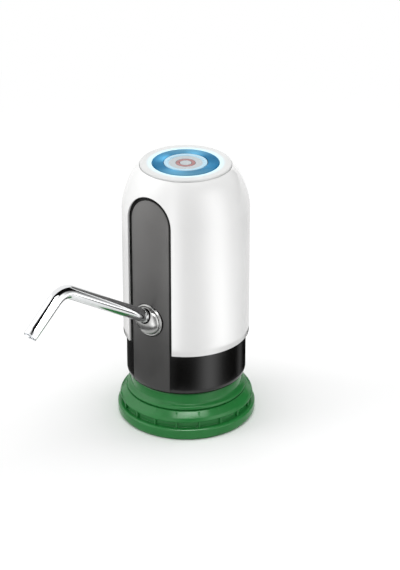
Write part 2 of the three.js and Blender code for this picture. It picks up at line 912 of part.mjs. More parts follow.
// Button: a dished cap held down by the flange under the light ring
function buttonCap() {
  const flangeTopZ = lightRingBottom - fitGap;
  const capBottom = unitTop - buttonThickness;
  const body = turned([
    [0, stemBottom],
    [buttonStemRadius, stemBottom],
    [buttonStemRadius, capBottom],
    [buttonRadius - buttonFlangeWidth, capBottom],
    [buttonRadius - buttonFlangeWidth, flangeTopZ - buttonFlangeThickness],
    [buttonRadius + buttonFlangeWidth, flangeTopZ - buttonFlangeThickness],
    [buttonRadius + buttonFlangeWidth, flangeTopZ],
    [buttonRadius, flangeTopZ],
    [buttonRadius, unitTop - bezelBevel],
    [buttonRadius - bezelBevel, unitTop],
    [buttonDishRadius + buttonDishDepth, unitTop],
    [buttonDishRadius, unitTop - buttonDishDepth],
    [0, unitTop - buttonDishDepth],
  ], mediumSides);
  const pocketBottom = unitTop - buttonDishDepth - iconThickness - fitGap;
  return part('button_cap', greyPlastic, cut(body, iconRing(pocketBottom, unitTop, fitGap)));
}

// The ring inlaid in the dish of the button, grown by a margin for its pocket
function iconRing(bottom, top, margin) {
  return tubeRing(iconRadius - iconWidth - margin, iconRadius + margin, bottom, top, mediumSides);
}

function buttonIcon() {
  const top = unitTop - buttonDishDepth;
  return part('button_icon', iconRed, iconRing(top - iconThickness, top, 0));
}

function switchPlunger() {
  const shape = rod(plungerRadius, switchTop - plungerHeight, plungerTop, smallSides);
  return part('switch_plunger', darkRubber, shape);
}

// Electrics under the button
function tactSwitch() {
  const half = switchSize / 2;
  const body = box([-half, -half, switchBottom], [half, half, switchTop]);
  const wellBottom = switchTop - plungerHeight - buttonTravel - fitGap;
  const well = rod(plungerRadius + fitGap, wellBottom, switchTop + overrun, smallSides);
  return part('tact_switch', darkRubber, cut(body, well));
}

function controlBoard() {
  const disc = rod(controlBoardRadius, controlBoardBottom, controlBoardTop, mediumSides);
  return part('control_board', boardGreen, disc);
}

function statusLamps() {
  return Array.from({ length: lampCount }, (_, i) => {
    const half = lampSize / 2;
    const bottom = controlBoardTop + fitGap;
    const chip = box(
      [lampCircleRadius - half, -half, bottom],
      [lampCircleRadius + half, half, bottom + lampHeight],
    );
    const angle = (360 / lampCount) * (i + 1 / 2);
    return part(`status_lamp_${i + 1}`, greyPlastic, turnedAbout(chip, angle));
  });
}

// Outlet: a solid that stands along +Z is laid along the spout's axis
function alongOutlet(solid) {
  return moved(solid.rotate([90 - outletAngle, 0, 0]), 0, -outletAxisDepth, outletZ);
}

function outletEscutcheon() {
  const back = outletSeatDepth + fitGap;
  const rimFront = back + escutcheonRim;
  const dome = Array.from({ length: escutcheonSteps }, (_, i) => {
    const angle = (Math.PI / 2) * (i / escutcheonSteps);
    return [escutcheonRadius * Math.cos(angle), rimFront + escutcheonTop * Math.sin(angle)];
  });
  const body = alongFront(turned([
    [0, back - escutcheonNeckLength],
    [escutcheonNeckRadius, back - escutcheonNeckLength],
    [escutcheonNeckRadius, back],
    [escutcheonRadius, back],
    ...dome,
    [0, rimFront + escutcheonTop],
  ], mediumSides));
  const pipeHole = alongOutlet(rod(spoutRadius + spoutHoleGap, 0, shellRadius, mediumSides));
  const ferruleHole = alongOutlet(
    rod(ferruleRadius + turnGap, -shellRadius, ferruleHead + fitGap, mediumSides),
  );
  return part('outlet_escutcheon', satinMetal, cut(body, pipeHole, ferruleHole));
}

// Outlet: the socket behind the tongue, with a barb at its side for the tube from the pump
function outletSocket() {
  const front = outletSeatDepth + fitGap - escutcheonNeckLength - fitGap;
  const boreRadius = ferruleRadius + turnGap;
  const flange = alongFront(rod(socketFlangeRadius, front - socketFlangeThickness, front, mediumSides));
  const barrel = alongOutlet(rod(boreRadius + socketWall, -socketDepth, overrun, mediumSides));
  const infront = box(
    [-shellRadius, -shellRadius * 2, 0],
    [shellRadius, -front, unitTop],
  );
  const barb = alongOutlet(moved(turned([
    [0, 0],
    ...barbOutline(barbRadius, barbRidge, boreRadius + socketWall / 2, barbLength),
    [0, boreRadius + socketWall / 2 + barbLength],
  ], tinySides).rotate([0, -90, 0]), 0, 0, outletBarbLevel));
  const boreEnd = -socketDepth + socketFloor;
  const bore = alongOutlet(rod(boreRadius, boreEnd, shellRadius, mediumSides));
  const well = alongOutlet(rod(barbBoreRadius, outletBarbLevel, boreEnd + overrun, tinySides));
  const cross = alongOutlet(moved(
    rod(barbBoreRadius, 0, shellRadius, tinySides).rotate([0, -90, 0]), 0, 0, outletBarbLevel,
  ));
  const body = join(flange, cut(barrel, infront), barb);
  return part('outlet_socket', frameGrey, cut(body, bore, well, cross));
}

// The place of a point given by its distance along the spout's axis
function outletPoint(along, side = 0) {
  const angle = THREE.MathUtils.degToRad(outletAngle);
  return new THREE.Vector3(
    side,
    -outletAxisDepth - along * Math.cos(angle),
    outletZ + along * Math.sin(angle),
  );
}

function spoutFerrule() {
  const bottom = ferruleHead - ferruleLength;
  const inner = spoutRadius + fitGap;
  const grooveDepth = sealSection * 2;
  const sealHalf = sealSection + fitGap / 2;
  const outerSeal = ferruleHead - ferruleSealDepth;
  const innerSeal = ferruleHead - spoutSealDepth;
  return part('spout_ferrule', greyPlastic, ring([
    [inner, bottom],
    [ferruleRadius, bottom],
    [ferruleRadius, outerSeal - sealHalf],
    [ferruleRadius - grooveDepth, outerSeal - sealHalf],
    [ferruleRadius - grooveDepth, outerSeal + sealHalf],
    [ferruleRadius, outerSeal + sealHalf],
    [ferruleRadius, ferruleHead],
    [inner, ferruleHead],
    [inner, innerSeal + sealHalf],
    [inner + grooveDepth, innerSeal + sealHalf],
    [inner + grooveDepth, innerSeal - sealHalf],
    [inner, innerSeal - sealHalf],
  ], smallSides));
}

function sealRing(name, radius, height) {
  const outline = Array.from({ length: wireSides }, (_, i) => {
    const angle = (2 * Math.PI * i) / wireSides;
    return [radius + sealSection * Math.cos(angle), height + sealSection * Math.sin(angle)];
  });
  return part(name, darkRubber, ring(outline, smallSides));
}

// Spout: a straight run, one bend and a straight leg, in the plane of +Z and -Y
class Bend extends THREE.Curve {
  constructor(start, radius, degrees) {
    super();
    this.start = start;
    this.radius = radius;
    this.degrees = degrees;
  }

  getPoint(t, target = new THREE.Vector3()) {
    const angle = THREE.MathUtils.degToRad(this.degrees) * t;
    const across = this.radius * (1 - Math.cos(angle));
    return target.set(0, -across, this.start + this.radius * Math.sin(angle));
  }
}

function spoutTube() {
  const half = THREE.MathUtils.degToRad(spoutBendAngle / 2);
  const tangent = spoutBendRadius * Math.tan(half);
  const bend = new Bend(spoutRun - tangent, spoutBendRadius, spoutBendAngle);
  const bendEnd = bend.getPoint(1);
  const legDirection = new THREE.Vector3(0, -Math.sin(half * 2), Math.cos(half * 2));
  const tip = bendEnd.clone().addScaledVector(legDirection, spoutLegLength - tangent);
  const path = new THREE.CurvePath();
  path.add(new THREE.LineCurve3(new THREE.Vector3(0, 0, -spoutInsertion), bend.getPoint(0)));
  path.add(bend);
  path.add(new THREE.LineCurve3(bendEnd, tip));
  const shape = sweptPath(path, spoutRadius, spoutRadius - spoutWall, pipeSides, bendSteps);
  return part('spout_tube', polishedSteel, shape);
}

// Inlet: a double barb through the deck, with its nut
function inletFitting() {
  const flangeTopZ = deckBottom - fitGap;
  const flangeBottomZ = flangeTopZ - fittingFlangeThickness;
  const lowerBarb = barbOutline(hoseBarbRadius, hoseBarbRidge, 0, hoseBarbLength)
    .map(([radius, height]) => [radius, flangeBottomZ - height]).reverse();
  return placed(part('inlet_fitting', frameGrey, ring([
    [hoseBarbBoreRadius, flangeBottomZ - hoseBarbLength],
    ...lowerBarb,
    [fittingFlangeRadius, flangeBottomZ],
    [fittingFlangeRadius, flangeTopZ],
    [fittingNeckRadius, flangeTopZ],
    [fittingNeckRadius, inletNutTop + fitGap],
    ...barbOutline(barbRadius, barbRidge, inletNutTop + fitGap, barbLength),
    [barbBoreRadius, inletNutTop + fitGap + barbLength],
    [barbBoreRadius, deckBottom],
    [hoseBarbBoreRadius, flangeBottomZ],
  ], smallSides)), inletX, inletY, 0);
}

function placed(mesh, x, y, z) {
  mesh.position.set(x, y, z);
  return mesh;
}

function inletNut() {
  const body = rod(inletNutRadius, inletNutBottom, inletNutTop, nutHexSides);
  const hole = rod(fittingNeckRadius + fitGap, inletNutBottom - overrun, inletNutTop + overrun);
  return placed(part('inlet_nut', frameGrey, cut(body, hole)), inletX, inletY, 0);
}

function inletTube() {
  const bottom = inletNutTop + fitGap * 2;
  const shape = tubeRing(tubeRadius - tubeWall, tubeRadius, bottom, coverBottom - fitGap);
  return placed(part('inlet_tube', silicone, shape), inletX, inletY, 0);
}

// The tube from the pump's outlet port round to the socket's side barb
function outletTube() {
  const barbBase = ferruleRadius + turnGap + socketWall + fitGap;
  const start = outletPoint(outletBarbLevel, -barbBase);
  const away = outletPoint(outletBarbLevel, -barbBase - barbLength);
  const port = new THREE.Vector3(pumpX - portX, pumpY - portY, coverBottom - barbLength);
  const seat = new THREE.Vector3(port.x, port.y, coverBottom - fitGap);
  const path = new THREE.CurvePath();
  path.add(new THREE.LineCurve3(start, away));
  path.add(new THREE.CubicBezierCurve3(
    away,
    away.clone().add(new THREE.Vector3(-outletTubeLead, 0, 0)),
    port.clone().add(new THREE.Vector3(0, 0, -outletTubeLead)),
    port,
  ));
  path.add(new THREE.LineCurve3(port, seat));
  const shape = sweptPath(path, tubeRadius, tubeRadius - tubeWall, tinySides, bendSteps);
  return part('outlet_tube', silicone, shape);
}

// Pump head, from the ports upwards. Its pieces stand round the pump's own axis.
function pumpCover() {
  const ports = [[portX, portY], [-portX, -portY]];
  const body = rod(pumpRadius, coverBottom, coverTop, mediumSides);
  const barbs = ports.map(([x, y]) => moved(turned([
    [0, coverBottom - barbLength],
    ...barbOutline(barbRadius, barbRidge, 0, barbLength)
      .map(([radius, height]) => [radius, coverBottom - height]).reverse(),
    [barbRadius, coverBottom + overrun / 2],
    [0, coverBottom + overrun / 2],
  ], tinySides), x, y, 0));
  const bores = ports.map(([x, y]) => moved(
    rod(barbBoreRadius, coverBottom - barbLength - overrun, coverTop, tinySides), x, y, 0,
  ));
  const chambers = ports.map(([x, y]) => moved(
    rod(valveRadius + turnGap, coverTop - coverBoreDepth, coverTop + overrun, smallSides), x, y, 0,
  ));
  const counterbores = around(screwCount, () => moved(
    rod(
      pumpScrewHeadRadius + fitGap,
      coverBottom - overrun,
      coverBottom + pumpScrewHeadHeight + fitGap * 2,
      tinySides,
    ),
    pumpScrewCircle, 0, 0,
  ));
  const holes = [...bores, ...chambers, ...counterbores, ...pumpScrewHoles()];
  return part('pump_cover', blackPlastic, cut(join(body, ...barbs), ...holes));
}

function pumpScrewHoles() {
  const top = coverBottom + pumpScrewHeadHeight + pumpScrewLength + fitGap * 2;
  return around(screwCount, () => moved(
    rod(pumpScrewRadius + fitGap, coverBottom - overrun, top, tinySides), pumpScrewCircle, 0, 0,
  ));
}

// The plate between the cover and the diaphragm, with a seat and flow holes for each valve
function valvePlate() {
  const body = rod(pumpRadius - fitGap, valvePlateBottom, valvePlateTop, mediumSides);
  const places = [[portX, portY], [-portX, -portY]];
  const stems = places.map(([x, y]) => moved(
    rod(valveStemRadius + fitGap, valvePlateBottom - overrun, valvePlateTop + overrun, tinySides), x, y, 0,
  ));
  const seatBottom = valvePlateTop - valveThickness - fitGap * 2;
  const seat = moved(
    rod(valveRadius + turnGap, seatBottom, valvePlateTop + overrun, smallSides), portX, portY, 0,
  );
  return part('valve_plate', frameGrey, cut(body, ...stems, seat, ...pumpScrewHoles()));
}

// A rubber valve: a disc on a stem, opening upwards on the inlet and downwards on the outlet
function valve(name, upwards) {
  const side = upwards ? 1 : -1;
  const face = upwards ? valvePlateTop - valveThickness - fitGap : valvePlateBottom - fitGap;
  const stemEnd = upwards ? valvePlateBottom + fitGap : valvePlateTop - fitGap;
  const mesh = part(name, darkRubber, turned([
    [0, stemEnd],
    [valveStemRadius, stemEnd],
    [valveStemRadius, face],
    [valveRadius, face],
    [valveRadius / 2, face + side * valveThickness],
    [0, face + side * valveThickness],
  ], tinySides));
  return placed(mesh, side * portX, side * portY, 0);
}

function diaphragm() {
  const disc = rod(pumpRadius - fitGap, diaphragmBottom, diaphragmTop, mediumSides);
  const cups = around(cupCount, () => moved(
    rod(cupRadius, diaphragmBottom, cupTop, tinySides), cupCircleRadius, 0, 0,
  ), cupTurn);
  const hollowRadius = cupRadius - diaphragmThickness / 2;
  const hollowTop = cupTop - diaphragmThickness / 2;
  const hollows = around(cupCount, () => moved(
    rod(hollowRadius, diaphragmBottom - overrun, hollowTop, tinySides), cupCircleRadius, 0, 0,
  ), cupTurn);
  return part('diaphragm', darkRubber, cut(join(disc, ...cups), ...hollows, ...pumpScrewHoles()));
}

function pumpCase() {
  const inner = pumpRadius - caseWall;
  const body = ring([
    [inner, caseBottom],
    [pumpRadius, caseBottom],
    [pumpRadius, caseTop],
    [caseHoleRadius, caseTop],
    [caseHoleRadius, caseTop - caseRoof],
    [inner, caseTop - caseRoof],
  ], mediumSides);
  return part('pump_case', blackPlastic, cut(body, ...pumpScrewHoles()));
}

function pumpScrews() {
  return around(screwCount, () => moved(
    screw(pumpScrewRadius, pumpScrewLength, pumpScrewHeadRadius, pumpScrewHeadHeight),
    pumpScrewCircle, 0, coverBottom + pumpScrewHeadHeight + fitGap,
  )).map((solid, i) => part(`pump_screw_${i + 1}`, satinMetal, solid));
}

// Motor
function motorCan() {
  return part('motor_can', satinMetal, ring([
    [shaftHoleRadius, motorBottom - motorBossHeight],
    [motorBossRadius, motorBottom - motorBossHeight],
    [motorBossRadius, motorBottom],
    [motorRadius, motorBottom],
    [motorRadius, motorTop],
    [motorRadius - motorWall, motorTop],
    [motorRadius - motorWall, motorBottom + motorWall],
    [shaftHoleRadius, motorBottom + motorWall],
  ], mediumSides));
}

function motorCap() {
  const body = rod(motorRadius, motorCapBottom, motorCapTop, mediumSides);
  const bearing = rod(shaftHoleRadius, motorCapBottom - overrun, shaftTop + fitGap, tinySides);
  const terminal = box(
    [-wireRadius, -wireRadius, motorCapTop - overrun / 2],
    [wireRadius, wireRadius, motorCapTop + motorTerminalHeight],
  );
  const terminals = [-1, 1].map((side) => moved(terminal, side * motorTerminalOffset, 0, 0));
  return part('motor_cap', blackPlastic, join(cut(body, bearing), ...terminals));
}

function motorMagnet() {
  const outer = motorRadius - motorWall - fitGap;
  const shape = tubeRing(outer - magnetThickness, outer, armatureBottom, armatureTop, mediumSides);
  return part('motor_magnet', ferrite, shape);
}

// Rotor: shaft, armature, commutator and eccentric hub
function motorShaft() {
  return part('motor_shaft', polishedSteel, rod(shaftRadius, shaftBottom, shaftTop, tinySides));
}

function armature() {
  const body = tubeRing(shaftRadius + fitGap, armatureRadius, armatureBottom, armatureTop, mediumSides);
  const slots = around(armatureSlotCount, () => box(
    [armatureRadius / 2, -armatureSlotWidth / 2, armatureBottom - overrun],
    [armatureRadius + overrun, armatureSlotWidth / 2, armatureTop + overrun],
  ));
  return part('armature', ferrite, cut(body, ...slots));
}

function commutator() {
  const bottom = armatureTop + fitGap;
  const shape = tubeRing(shaftRadius + fitGap, commutatorRadius, bottom, motorTop - fitGap, tinySides);
  return part('commutator', copper, shape);
}

// The hub on the shaft, with the leaning hole that the wobble pin turns in
function eccentricHub() {
  const body = rod(hubRadius, hubBottom, hubTop, smallSides);
  const shaftHole = rod(shaftRadius + fitGap, shaftBottom - fitGap, hubTop + overrun, tinySides);
  const pinHole = leaning(rod(pinRadius + fitGap, 0, pinTop + fitGap, tinySides));
  return part('eccentric_hub', frameGrey, cut(body, shaftHole, pinHole));
}

// Leans a solid that stands on the wobble centre, then lifts it to that centre
function leaning(solid) {
  return moved(solid.rotate([0, wobbleTilt, 0]), 0, 0, cupTop);
}

// Wobble plate: its pegs push the cups one after another as the hub turns
function wobblePlate() {
  const plateBottom = footClearance + wobbleHeight - wobbleThickness;
  const disc = rod(wobbleRadius, plateBottom, plateBottom + wobbleThickness, mediumSides);
  const pegs = around(cupCount, () => moved(
    rod(footPegRadius, footClearance, plateBottom + wobbleThickness / 2, tinySides), cupCircleRadius, 0, 0,
  ), cupTurn);
  const hole = rod(pinRadius + fitGap, 0, pinTop, tinySides);
  return part('wobble_plate', greyPlastic, leaning(cut(join(disc, ...pegs), hole)));
}

function wobblePin() {
  return part('wobble_pin', polishedSteel, leaning(rod(pinRadius, footClearance, pinTop, tinySides)));
}

// Battery
function batteryCell() {
  const bevel = batteryTerminalHeight / 2;
  const mesh = part('battery_cell', batteryBlue, turned([
    [0, batteryBottom],
    [batteryRadius - bevel, batteryBottom],
    [batteryRadius, batteryBottom + bevel],
    [batteryRadius, batteryTop - bevel],
    [batteryRadius - bevel, batteryTop],
    [batteryTerminalRadius, batteryTop],
    [batteryTerminalRadius, batteryTop + batteryTerminalHeight],
    [0, batteryTop + batteryTerminalHeight],
  ], mediumSides));
  return placed(mesh, batteryX, batteryY, 0);
}

// The upright frame that carries the battery, the pump and both boards
function innerFrame() {
  const wall = box([frameWallX, frameFront, frameBottom], [frameWallX + frameWall, frameBack, frameTop]);
  const floor = rod(housingRadius - housingWall - fitGap, frameBottom, frameBottom + frameFloor, roundSides);
  const top = rod(housingRadius - frameTopInset, frameTop - frameFloor, frameTop, roundSides);
  const posts = around(postCount, () => moved(
    rod(postRadius, frameTop - frameFloor / 2, controlBoardBottom - fitGap, tinySides), postCircle, 0, 0,
  ), postTurn);
  const bosses = deckScrewPlaces().map(([x, y]) => moved(
    rod(deckBossRadius, frameBottom + frameFloor / 2, frameBottom + frameFloor + deckBossHeight, tinySides),
    x, y, 0,
  ));
  const holders = [...cradles(), ...pumpHolders(), ...chargeShelf()];
  const solids = join(wall, floor, top, ...posts, ...bosses, ...holders);
  const screwEnd = deckBottom - fitGap * 2 + deckScrewLength + fitGap * 2;
  const screwHoles = deckScrewPlaces().map(([x, y]) => moved(
    rod(deckScrewRadius + fitGap, deckBottom, screwEnd, tinySides), x, y, 0,
  ));
  const fittingHole = moved(
    rod(inletNutRadius + fitGap, deckBottom, frameBottom + frameFloor + overrun), inletX, inletY, 0,
  );
  const wireHoles = leadPlaces().map(([x, y]) => moved(
    rod(wireHoleRadius, frameTop - frameFloor - overrun, frameTop + overrun, tinySides), x, y, 0,
  ));
  return part('inner_frame', frameGrey, cut(solids, ...screwHoles, fittingHole, ...wireHoles));
}

// A cup under the battery and a cap over it, each on a web from the frame's wall
function cradles() {
  const outer = batteryRadius + fitGap + cradleWall;
  const inner = batteryRadius + fitGap;
  const seat = batteryBottom - fitGap;
  const cup = tubeRing(inner, outer, seat, batteryBottom + cradleRim, mediumSides);
  const floor = rod(outer, seat - cradleWall, seat, mediumSides);
  const ceiling = batteryTop + batteryTerminalHeight + fitGap;
  const rim = tubeRing(inner, outer, batteryTop - cradleRim, ceiling, mediumSides);
  const roof = rod(outer, ceiling, ceiling + cradleWall, mediumSides);
  const hole = rod(wireHoleRadius, ceiling - overrun, ceiling + cradleWall + overrun, tinySides);
  const near = frameWallX + frameWall / 2;
  const webs = [
    [seat - cradleWall, batteryBottom + cradleRim],
    [batteryTop - cradleRim, ceiling + cradleWall],
  ].map(([low, high]) => box(
    [near, batteryY - outer / 2, low],
    [batteryX - outer + cradleWall / 2, batteryY + outer / 2, high],
  ));
  const shells = [cup, floor, rim, cut(roof, hole)].map((solid) => moved(solid, batteryX, batteryY, 0));
  const room = moved(rod(inner, seat, ceiling, mediumSides), batteryX, batteryY, 0);
  return [...shells, ...webs.map((web) => cut(web, room))];
}

// The shelf under the pump's cover and the ring round the motor
function pumpHolders() {
  const outer = motorRadius + fitGap + cradleWall;
  const ringBottom = motorBottom + motorRingOffset;
  const ringTop = ringBottom + motorRingHeight;
  const motorRing = tubeRing(motorRadius + fitGap, outer, ringBottom, ringTop, mediumSides);
  const shelfTop = coverBottom - fitGap;
  const shelf = tubeRing(shelfBoreRadius, outer, shelfTop - shelfThickness, shelfTop, mediumSides);
  const near = outer - cradleWall / 2 + pumpX;
  const half = outer / 3;
  const ringWeb = box(
    [near, pumpY - half, ringBottom],
    [frameWallX + frameWall / 2, pumpY + half, ringTop],
  );
  const shelfWeb = box(
    [near, pumpY - half, shelfTop - shelfThickness],
    [frameWallX + frameWall / 2, pumpY + half, shelfTop],
  );
  return [moved(motorRing, pumpX, pumpY, 0), moved(shelf, pumpX, pumpY, 0), ringWeb, shelfWeb];
}

// The shelf under the charge board, on a pillar from the frame's floor
function chargeShelf() {
  const top = chargeBoardBottom - fitGap;
  const front = chargeBoardBack - chargeBoardLength;
  const back = chargeBoardBack - usbDepth / 2;
  return [
    box([-chargeBoardWidth / 2, front, top - chargeShelfThickness], [chargeBoardWidth / 2, back, top]),
    box(
      [-chargePillar, front + chargePillar, frameBottom + frameFloor / 2],
      [chargePillar, back - chargePillar, top - chargeShelfThickness / 2],
    ),
  ];
}

function deckScrewPlaces() {
  return deckScrewAngles.map((degrees) => {
    const angle = THREE.MathUtils.degToRad(degrees);
    return [deckScrewCircle * Math.cos(angle), deckScrewCircle * Math.sin(angle)];
  });
}

function deckScrews() {
  return deckScrewPlaces().map(([x, y], i) => placed(
    part(
      `deck_screw_${i + 1}`,
      satinMetal,
      screw(deckScrewRadius, deckScrewLength, deckScrewHeadRadius, deckScrewHeadHeight),
    ),
    x, y, deckBottom - fitGap,
  ));
}

// Charging port
function chargeBoard() {
  const body = box(
    [-chargeBoardWidth / 2, chargeBoardBack - chargeBoardLength, chargeBoardBottom],
    [chargeBoardWidth / 2, chargeBoardBack, chargeBoardTop],
  );
  return part('charge_board', boardGreen, body);
}

function usbSocket() {
  const half = usbWidth / 2;
  const tall = usbTall / 2;
  const back = usbFront - usbDepth;
  const shell = runAlongY(roundedRectangle(usbWidth, usbTall, usbWall * 2, 0, portZ), back, usbFront);
  const cavity = runAlongY(
    roundedRectangle(usbWidth - usbWall * 2, usbTall - usbWall * 2, usbWall, 0, portZ),
    back + usbBackWall, usbFront + overrun,
  );
  const tongue = box(
    [-half + usbTongueInset + usbWall, back + usbBackWall / 2, portZ - usbTongueTall / 2],
    [half - usbTongueInset - usbWall, usbFront - usbTongueInset, portZ + usbTongueTall / 2],
  );
  const slim = tongue.intersect(box([-half, back, portZ - tall], [half, usbFront, portZ + tall]));
  return part('usb_socket', satinMetal, join(cut(shell, cavity), slim));
}

// The rubber cover that fills the port's hole, with a pad before the socket and a finger tab
function portCover() {
  const width = portWidth - fitGap * 2;
  const tall = portTall - fitGap * 2;
  const outline = roundedRectangle(width, tall, portCorner, 0, portZ);
  const skin = tubeRing(shellRadius - shellWall, shellRadius, shellBottom, domeStart, roundSides);
  const flap = skin.intersect(runAlongY(outline, 0, shellRadius + overrun));
  const padFront = shellRadius - shellWall;
  const pad = runAlongY(
    roundedRectangle(portPadWidth, portPadTall, portPadTall / 2, 0, portZ),
    padFront - portPadDepth, padFront + shellWall / 2,
  );
  const low = portZ - tall / 2;
  const tab = box(
    [-portTabWidth / 2, shellRadius - shellWall / 2, low],
    [portTabWidth / 2, shellRadius + portTabDepth, low + portTabTall],
  );
  return part('port_cover', darkRubber, join(flap, pad, tab));
}

// Leads
function uprightLead(name, finish, x, y, bottom) {
  const shape = rod(wireRadius, bottom + fitGap, controlBoardBottom - fitGap, wireSides);
  return placed(part(name, finish, shape), x, y, 0);
}

function leadPlaces() {
  const chargeY = chargeBoardBack - chargeBoardLength + wireHoleRadius;
  return [
    [pumpX + motorTerminalOffset, pumpY],
    [pumpX - motorTerminalOffset, pumpY],
    [batteryX, batteryY],
    [sideLeadX, sideLeadY],
    [-chargeBoardWidth / 4, chargeY],
    [chargeBoardWidth / 4, chargeY],
  ];
}

function leads() {
  const [motorRed, motorBlack, batteryRed, , chargeRed, chargeBlack] = leadPlaces();
  const motorStart = motorCapTop + motorTerminalHeight;
  return [
    uprightLead('motor_lead_red', leadRed, ...motorRed, motorStart),
    uprightLead('motor_lead_black', leadBlack, ...motorBlack, motorStart),
    uprightLead('battery_lead_red', leadRed, ...batteryRed, batteryTop + batteryTerminalHeight),
    uprightLead('charge_lead_red', leadRed, ...chargeRed, chargeBoardTop),
    uprightLead('charge_lead_black', leadBlack, ...chargeBlack, chargeBoardTop),
    batteryReturnLead(),
  ];
}

// From the side of the battery's foot, out and up past the frame's top to the control board
function batteryReturnLead() {
  const angle = Math.atan2(sideLeadY - batteryY, sideLeadX - batteryX);
  const outwards = new THREE.Vector3(Math.cos(angle), Math.sin(angle), 0);
  const height = batteryBottom + cradleRim * 2;
  const start = new THREE.Vector3(batteryX, batteryY, height)
    .addScaledVector(outwards, batteryRadius + fitGap);
  const middle = new THREE.Vector3(sideLeadX, sideLeadY, height + wireLead);
  const end = new THREE.Vector3(sideLeadX, sideLeadY, controlBoardBottom - fitGap);
  const path = new THREE.CurvePath();
  path.add(new THREE.CubicBezierCurve3(
    start,
    start.clone().addScaledVector(outwards, wireLead / 3),
    middle.clone().add(new THREE.Vector3(0, 0, -wireLead / 2)),
    middle,
  ));
  path.add(new THREE.LineCurve3(middle, end));
  const shape = sweptPath(path, wireRadius, 0, wireSides, wireSteps);
  return part('battery_lead_black', leadBlack, shape);
}

// Assembly
function group(...children) {
  const whole = new THREE.Group();
  whole.add(...children);
  return whole;
}

const neck = group(neckNut(), neckSpigot(), neckGasket());

const housing = group(
  lowerHousing(), frontPanel(), neckSleeve(), outerShell(), topBezel(), lightRing(), outletEscutcheon(),
  outletSocket(), inletFitting(), inletNut(), inletTube(), outletTube(), innerFrame(),
  ...deckScrews(), batteryCell(), chargeBoard(), usbSocket(), portCover(), ...leads(),
);

const top = group(
  buttonCap(), buttonIcon(), switchPlunger(), tactSwitch(), controlBoard(), ...statusLamps(),
);

const pump = group(
  pumpCover(), valvePlate(), valve('inlet_valve', true), valve('outlet_valve', false), diaphragm(),
  pumpCase(), ...pumpScrews(), motorCan(), motorCap(), motorMagnet(), motorShaft(), armature(),
  commutator(), eccentricHub(), wobblePlate(), wobblePin(),
);
pump.position.set(pumpX, pumpY, 0);

const spout = group(
  spoutTube(), spoutFerrule(),
  sealRing('ferrule_seal', ferruleRadius - sealSection + fitGap / 2, ferruleHead - ferruleSealDepth),
  sealRing('spout_seal', spoutRadius + fitGap / 2 + sealSection, ferruleHead - spoutSealDepth),
);
spout.position.set(0, -outletAxisDepth, outletZ);
spout.rotation.x = THREE.MathUtils.degToRad(90 - outletAngle);

const jugPump = group(neck, housing, top, pump, spout);

export default jugPump;
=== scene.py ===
import math

import bmesh
import bpy
import numpy as np
from mathutils import Matrix, Vector


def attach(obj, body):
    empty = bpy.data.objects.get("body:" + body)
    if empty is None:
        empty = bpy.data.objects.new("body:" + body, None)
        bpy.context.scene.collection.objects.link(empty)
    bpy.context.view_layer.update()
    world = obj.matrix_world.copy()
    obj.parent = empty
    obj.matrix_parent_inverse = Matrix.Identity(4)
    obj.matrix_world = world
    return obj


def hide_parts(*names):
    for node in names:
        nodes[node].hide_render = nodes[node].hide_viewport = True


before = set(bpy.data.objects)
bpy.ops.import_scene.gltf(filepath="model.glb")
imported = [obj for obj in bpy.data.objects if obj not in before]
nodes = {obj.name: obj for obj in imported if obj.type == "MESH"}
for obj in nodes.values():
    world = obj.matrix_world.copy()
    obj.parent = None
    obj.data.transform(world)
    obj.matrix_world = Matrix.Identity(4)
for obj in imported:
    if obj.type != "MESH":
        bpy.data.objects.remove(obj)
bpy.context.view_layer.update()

# Sizes of the solids, in metres
MM = 0.001
NUT_RADIUS = 42.2 * MM
NUT_EDGE_RADIUS = 41.3 * MM
NUT_LIP_RADIUS = 21.9 * MM
NUT_SLEEVE_RADIUS = 26.7 * MM
NUT_SKIRT_RADIUS = 36.3 * MM
NUT_HOLLOW_TOP = 13.4 * MM
NUT_RING_TOP = 7.0 * MM
NUT_GROOVE_TOP = 11.0 * MM
NUT_GROOVE_RADIUS = 38.8 * MM
NUT_RIM_RADIUS = 40.8 * MM
NUT_RIM_TOP = 13.6 * MM
NUT_TOP_RADIUS = 37.0 * MM
NUT_TOP = 17.0 * MM
NUT_LIP_BOTTOM = 14.6 * MM
NUT_THREAD_RADIUS = 24.3 * MM
WAIST_RADIUS = 21.5 * MM
SHOULDER_BOTTOM = 17.3 * MM
SHOULDER_TOP = 26.7 * MM
SHOULDER_RADIUS = 34.0 * MM
SPIGOT_RADIUS = 27.5 * MM
SPIGOT_TOP = 48.1 * MM
SPIGOT_BORE = 19.5 * MM
SPIGOT_FLANGE_RADIUS = 23.9 * MM
SPIGOT_FLANGE_TOP = 14.3 * MM
SPIGOT_BOTTOM = 12.5 * MM
SPIGOT_CUP_RADIUS = 25.2 * MM
SPIGOT_CUP_FLOOR = 19.9 * MM
BASE_BOTTOM = 27.0 * MM
DECK_BOTTOM = 48.9 * MM
DECK_TOP = 51.5 * MM
COLLAR_TOP = 60.5 * MM
HOUSING_RADIUS = 36.2 * MM
HOUSING_WALL = 2.2 * MM
SHELL_RADIUS = 38.1 * MM
SHELL_WALL = 1.6 * MM
SHELL_BOTTOM = 54.4 * MM
DOME_START = 136.7 * MM
DOME_HEIGHT = 27.3 * MM
DOME_TOP_RADIUS = 24.5 * MM
DOME_EXPONENT = 1.6
UNIT_TOP = 164.0 * MM
OPENING_RADIUS = 27.4 * MM
LEDGE_RADIUS = 23.7 * MM
LEDGE_TOP = 161.2 * MM
LEDGE_BOTTOM = 159.6 * MM
ARCH_HALF = 16.2 * MM
ARCH_SPRING = 136.0 * MM
ARCH_RISE = 16.5 * MM
ARCH_TOP = ARCH_SPRING + ARCH_RISE
TONGUE_MARGIN = 3.0 * MM
TONGUE_INSET = 1.9 * MM
PANEL_INSET = 2.2 * MM
FIT_GAP = 0.3 * MM
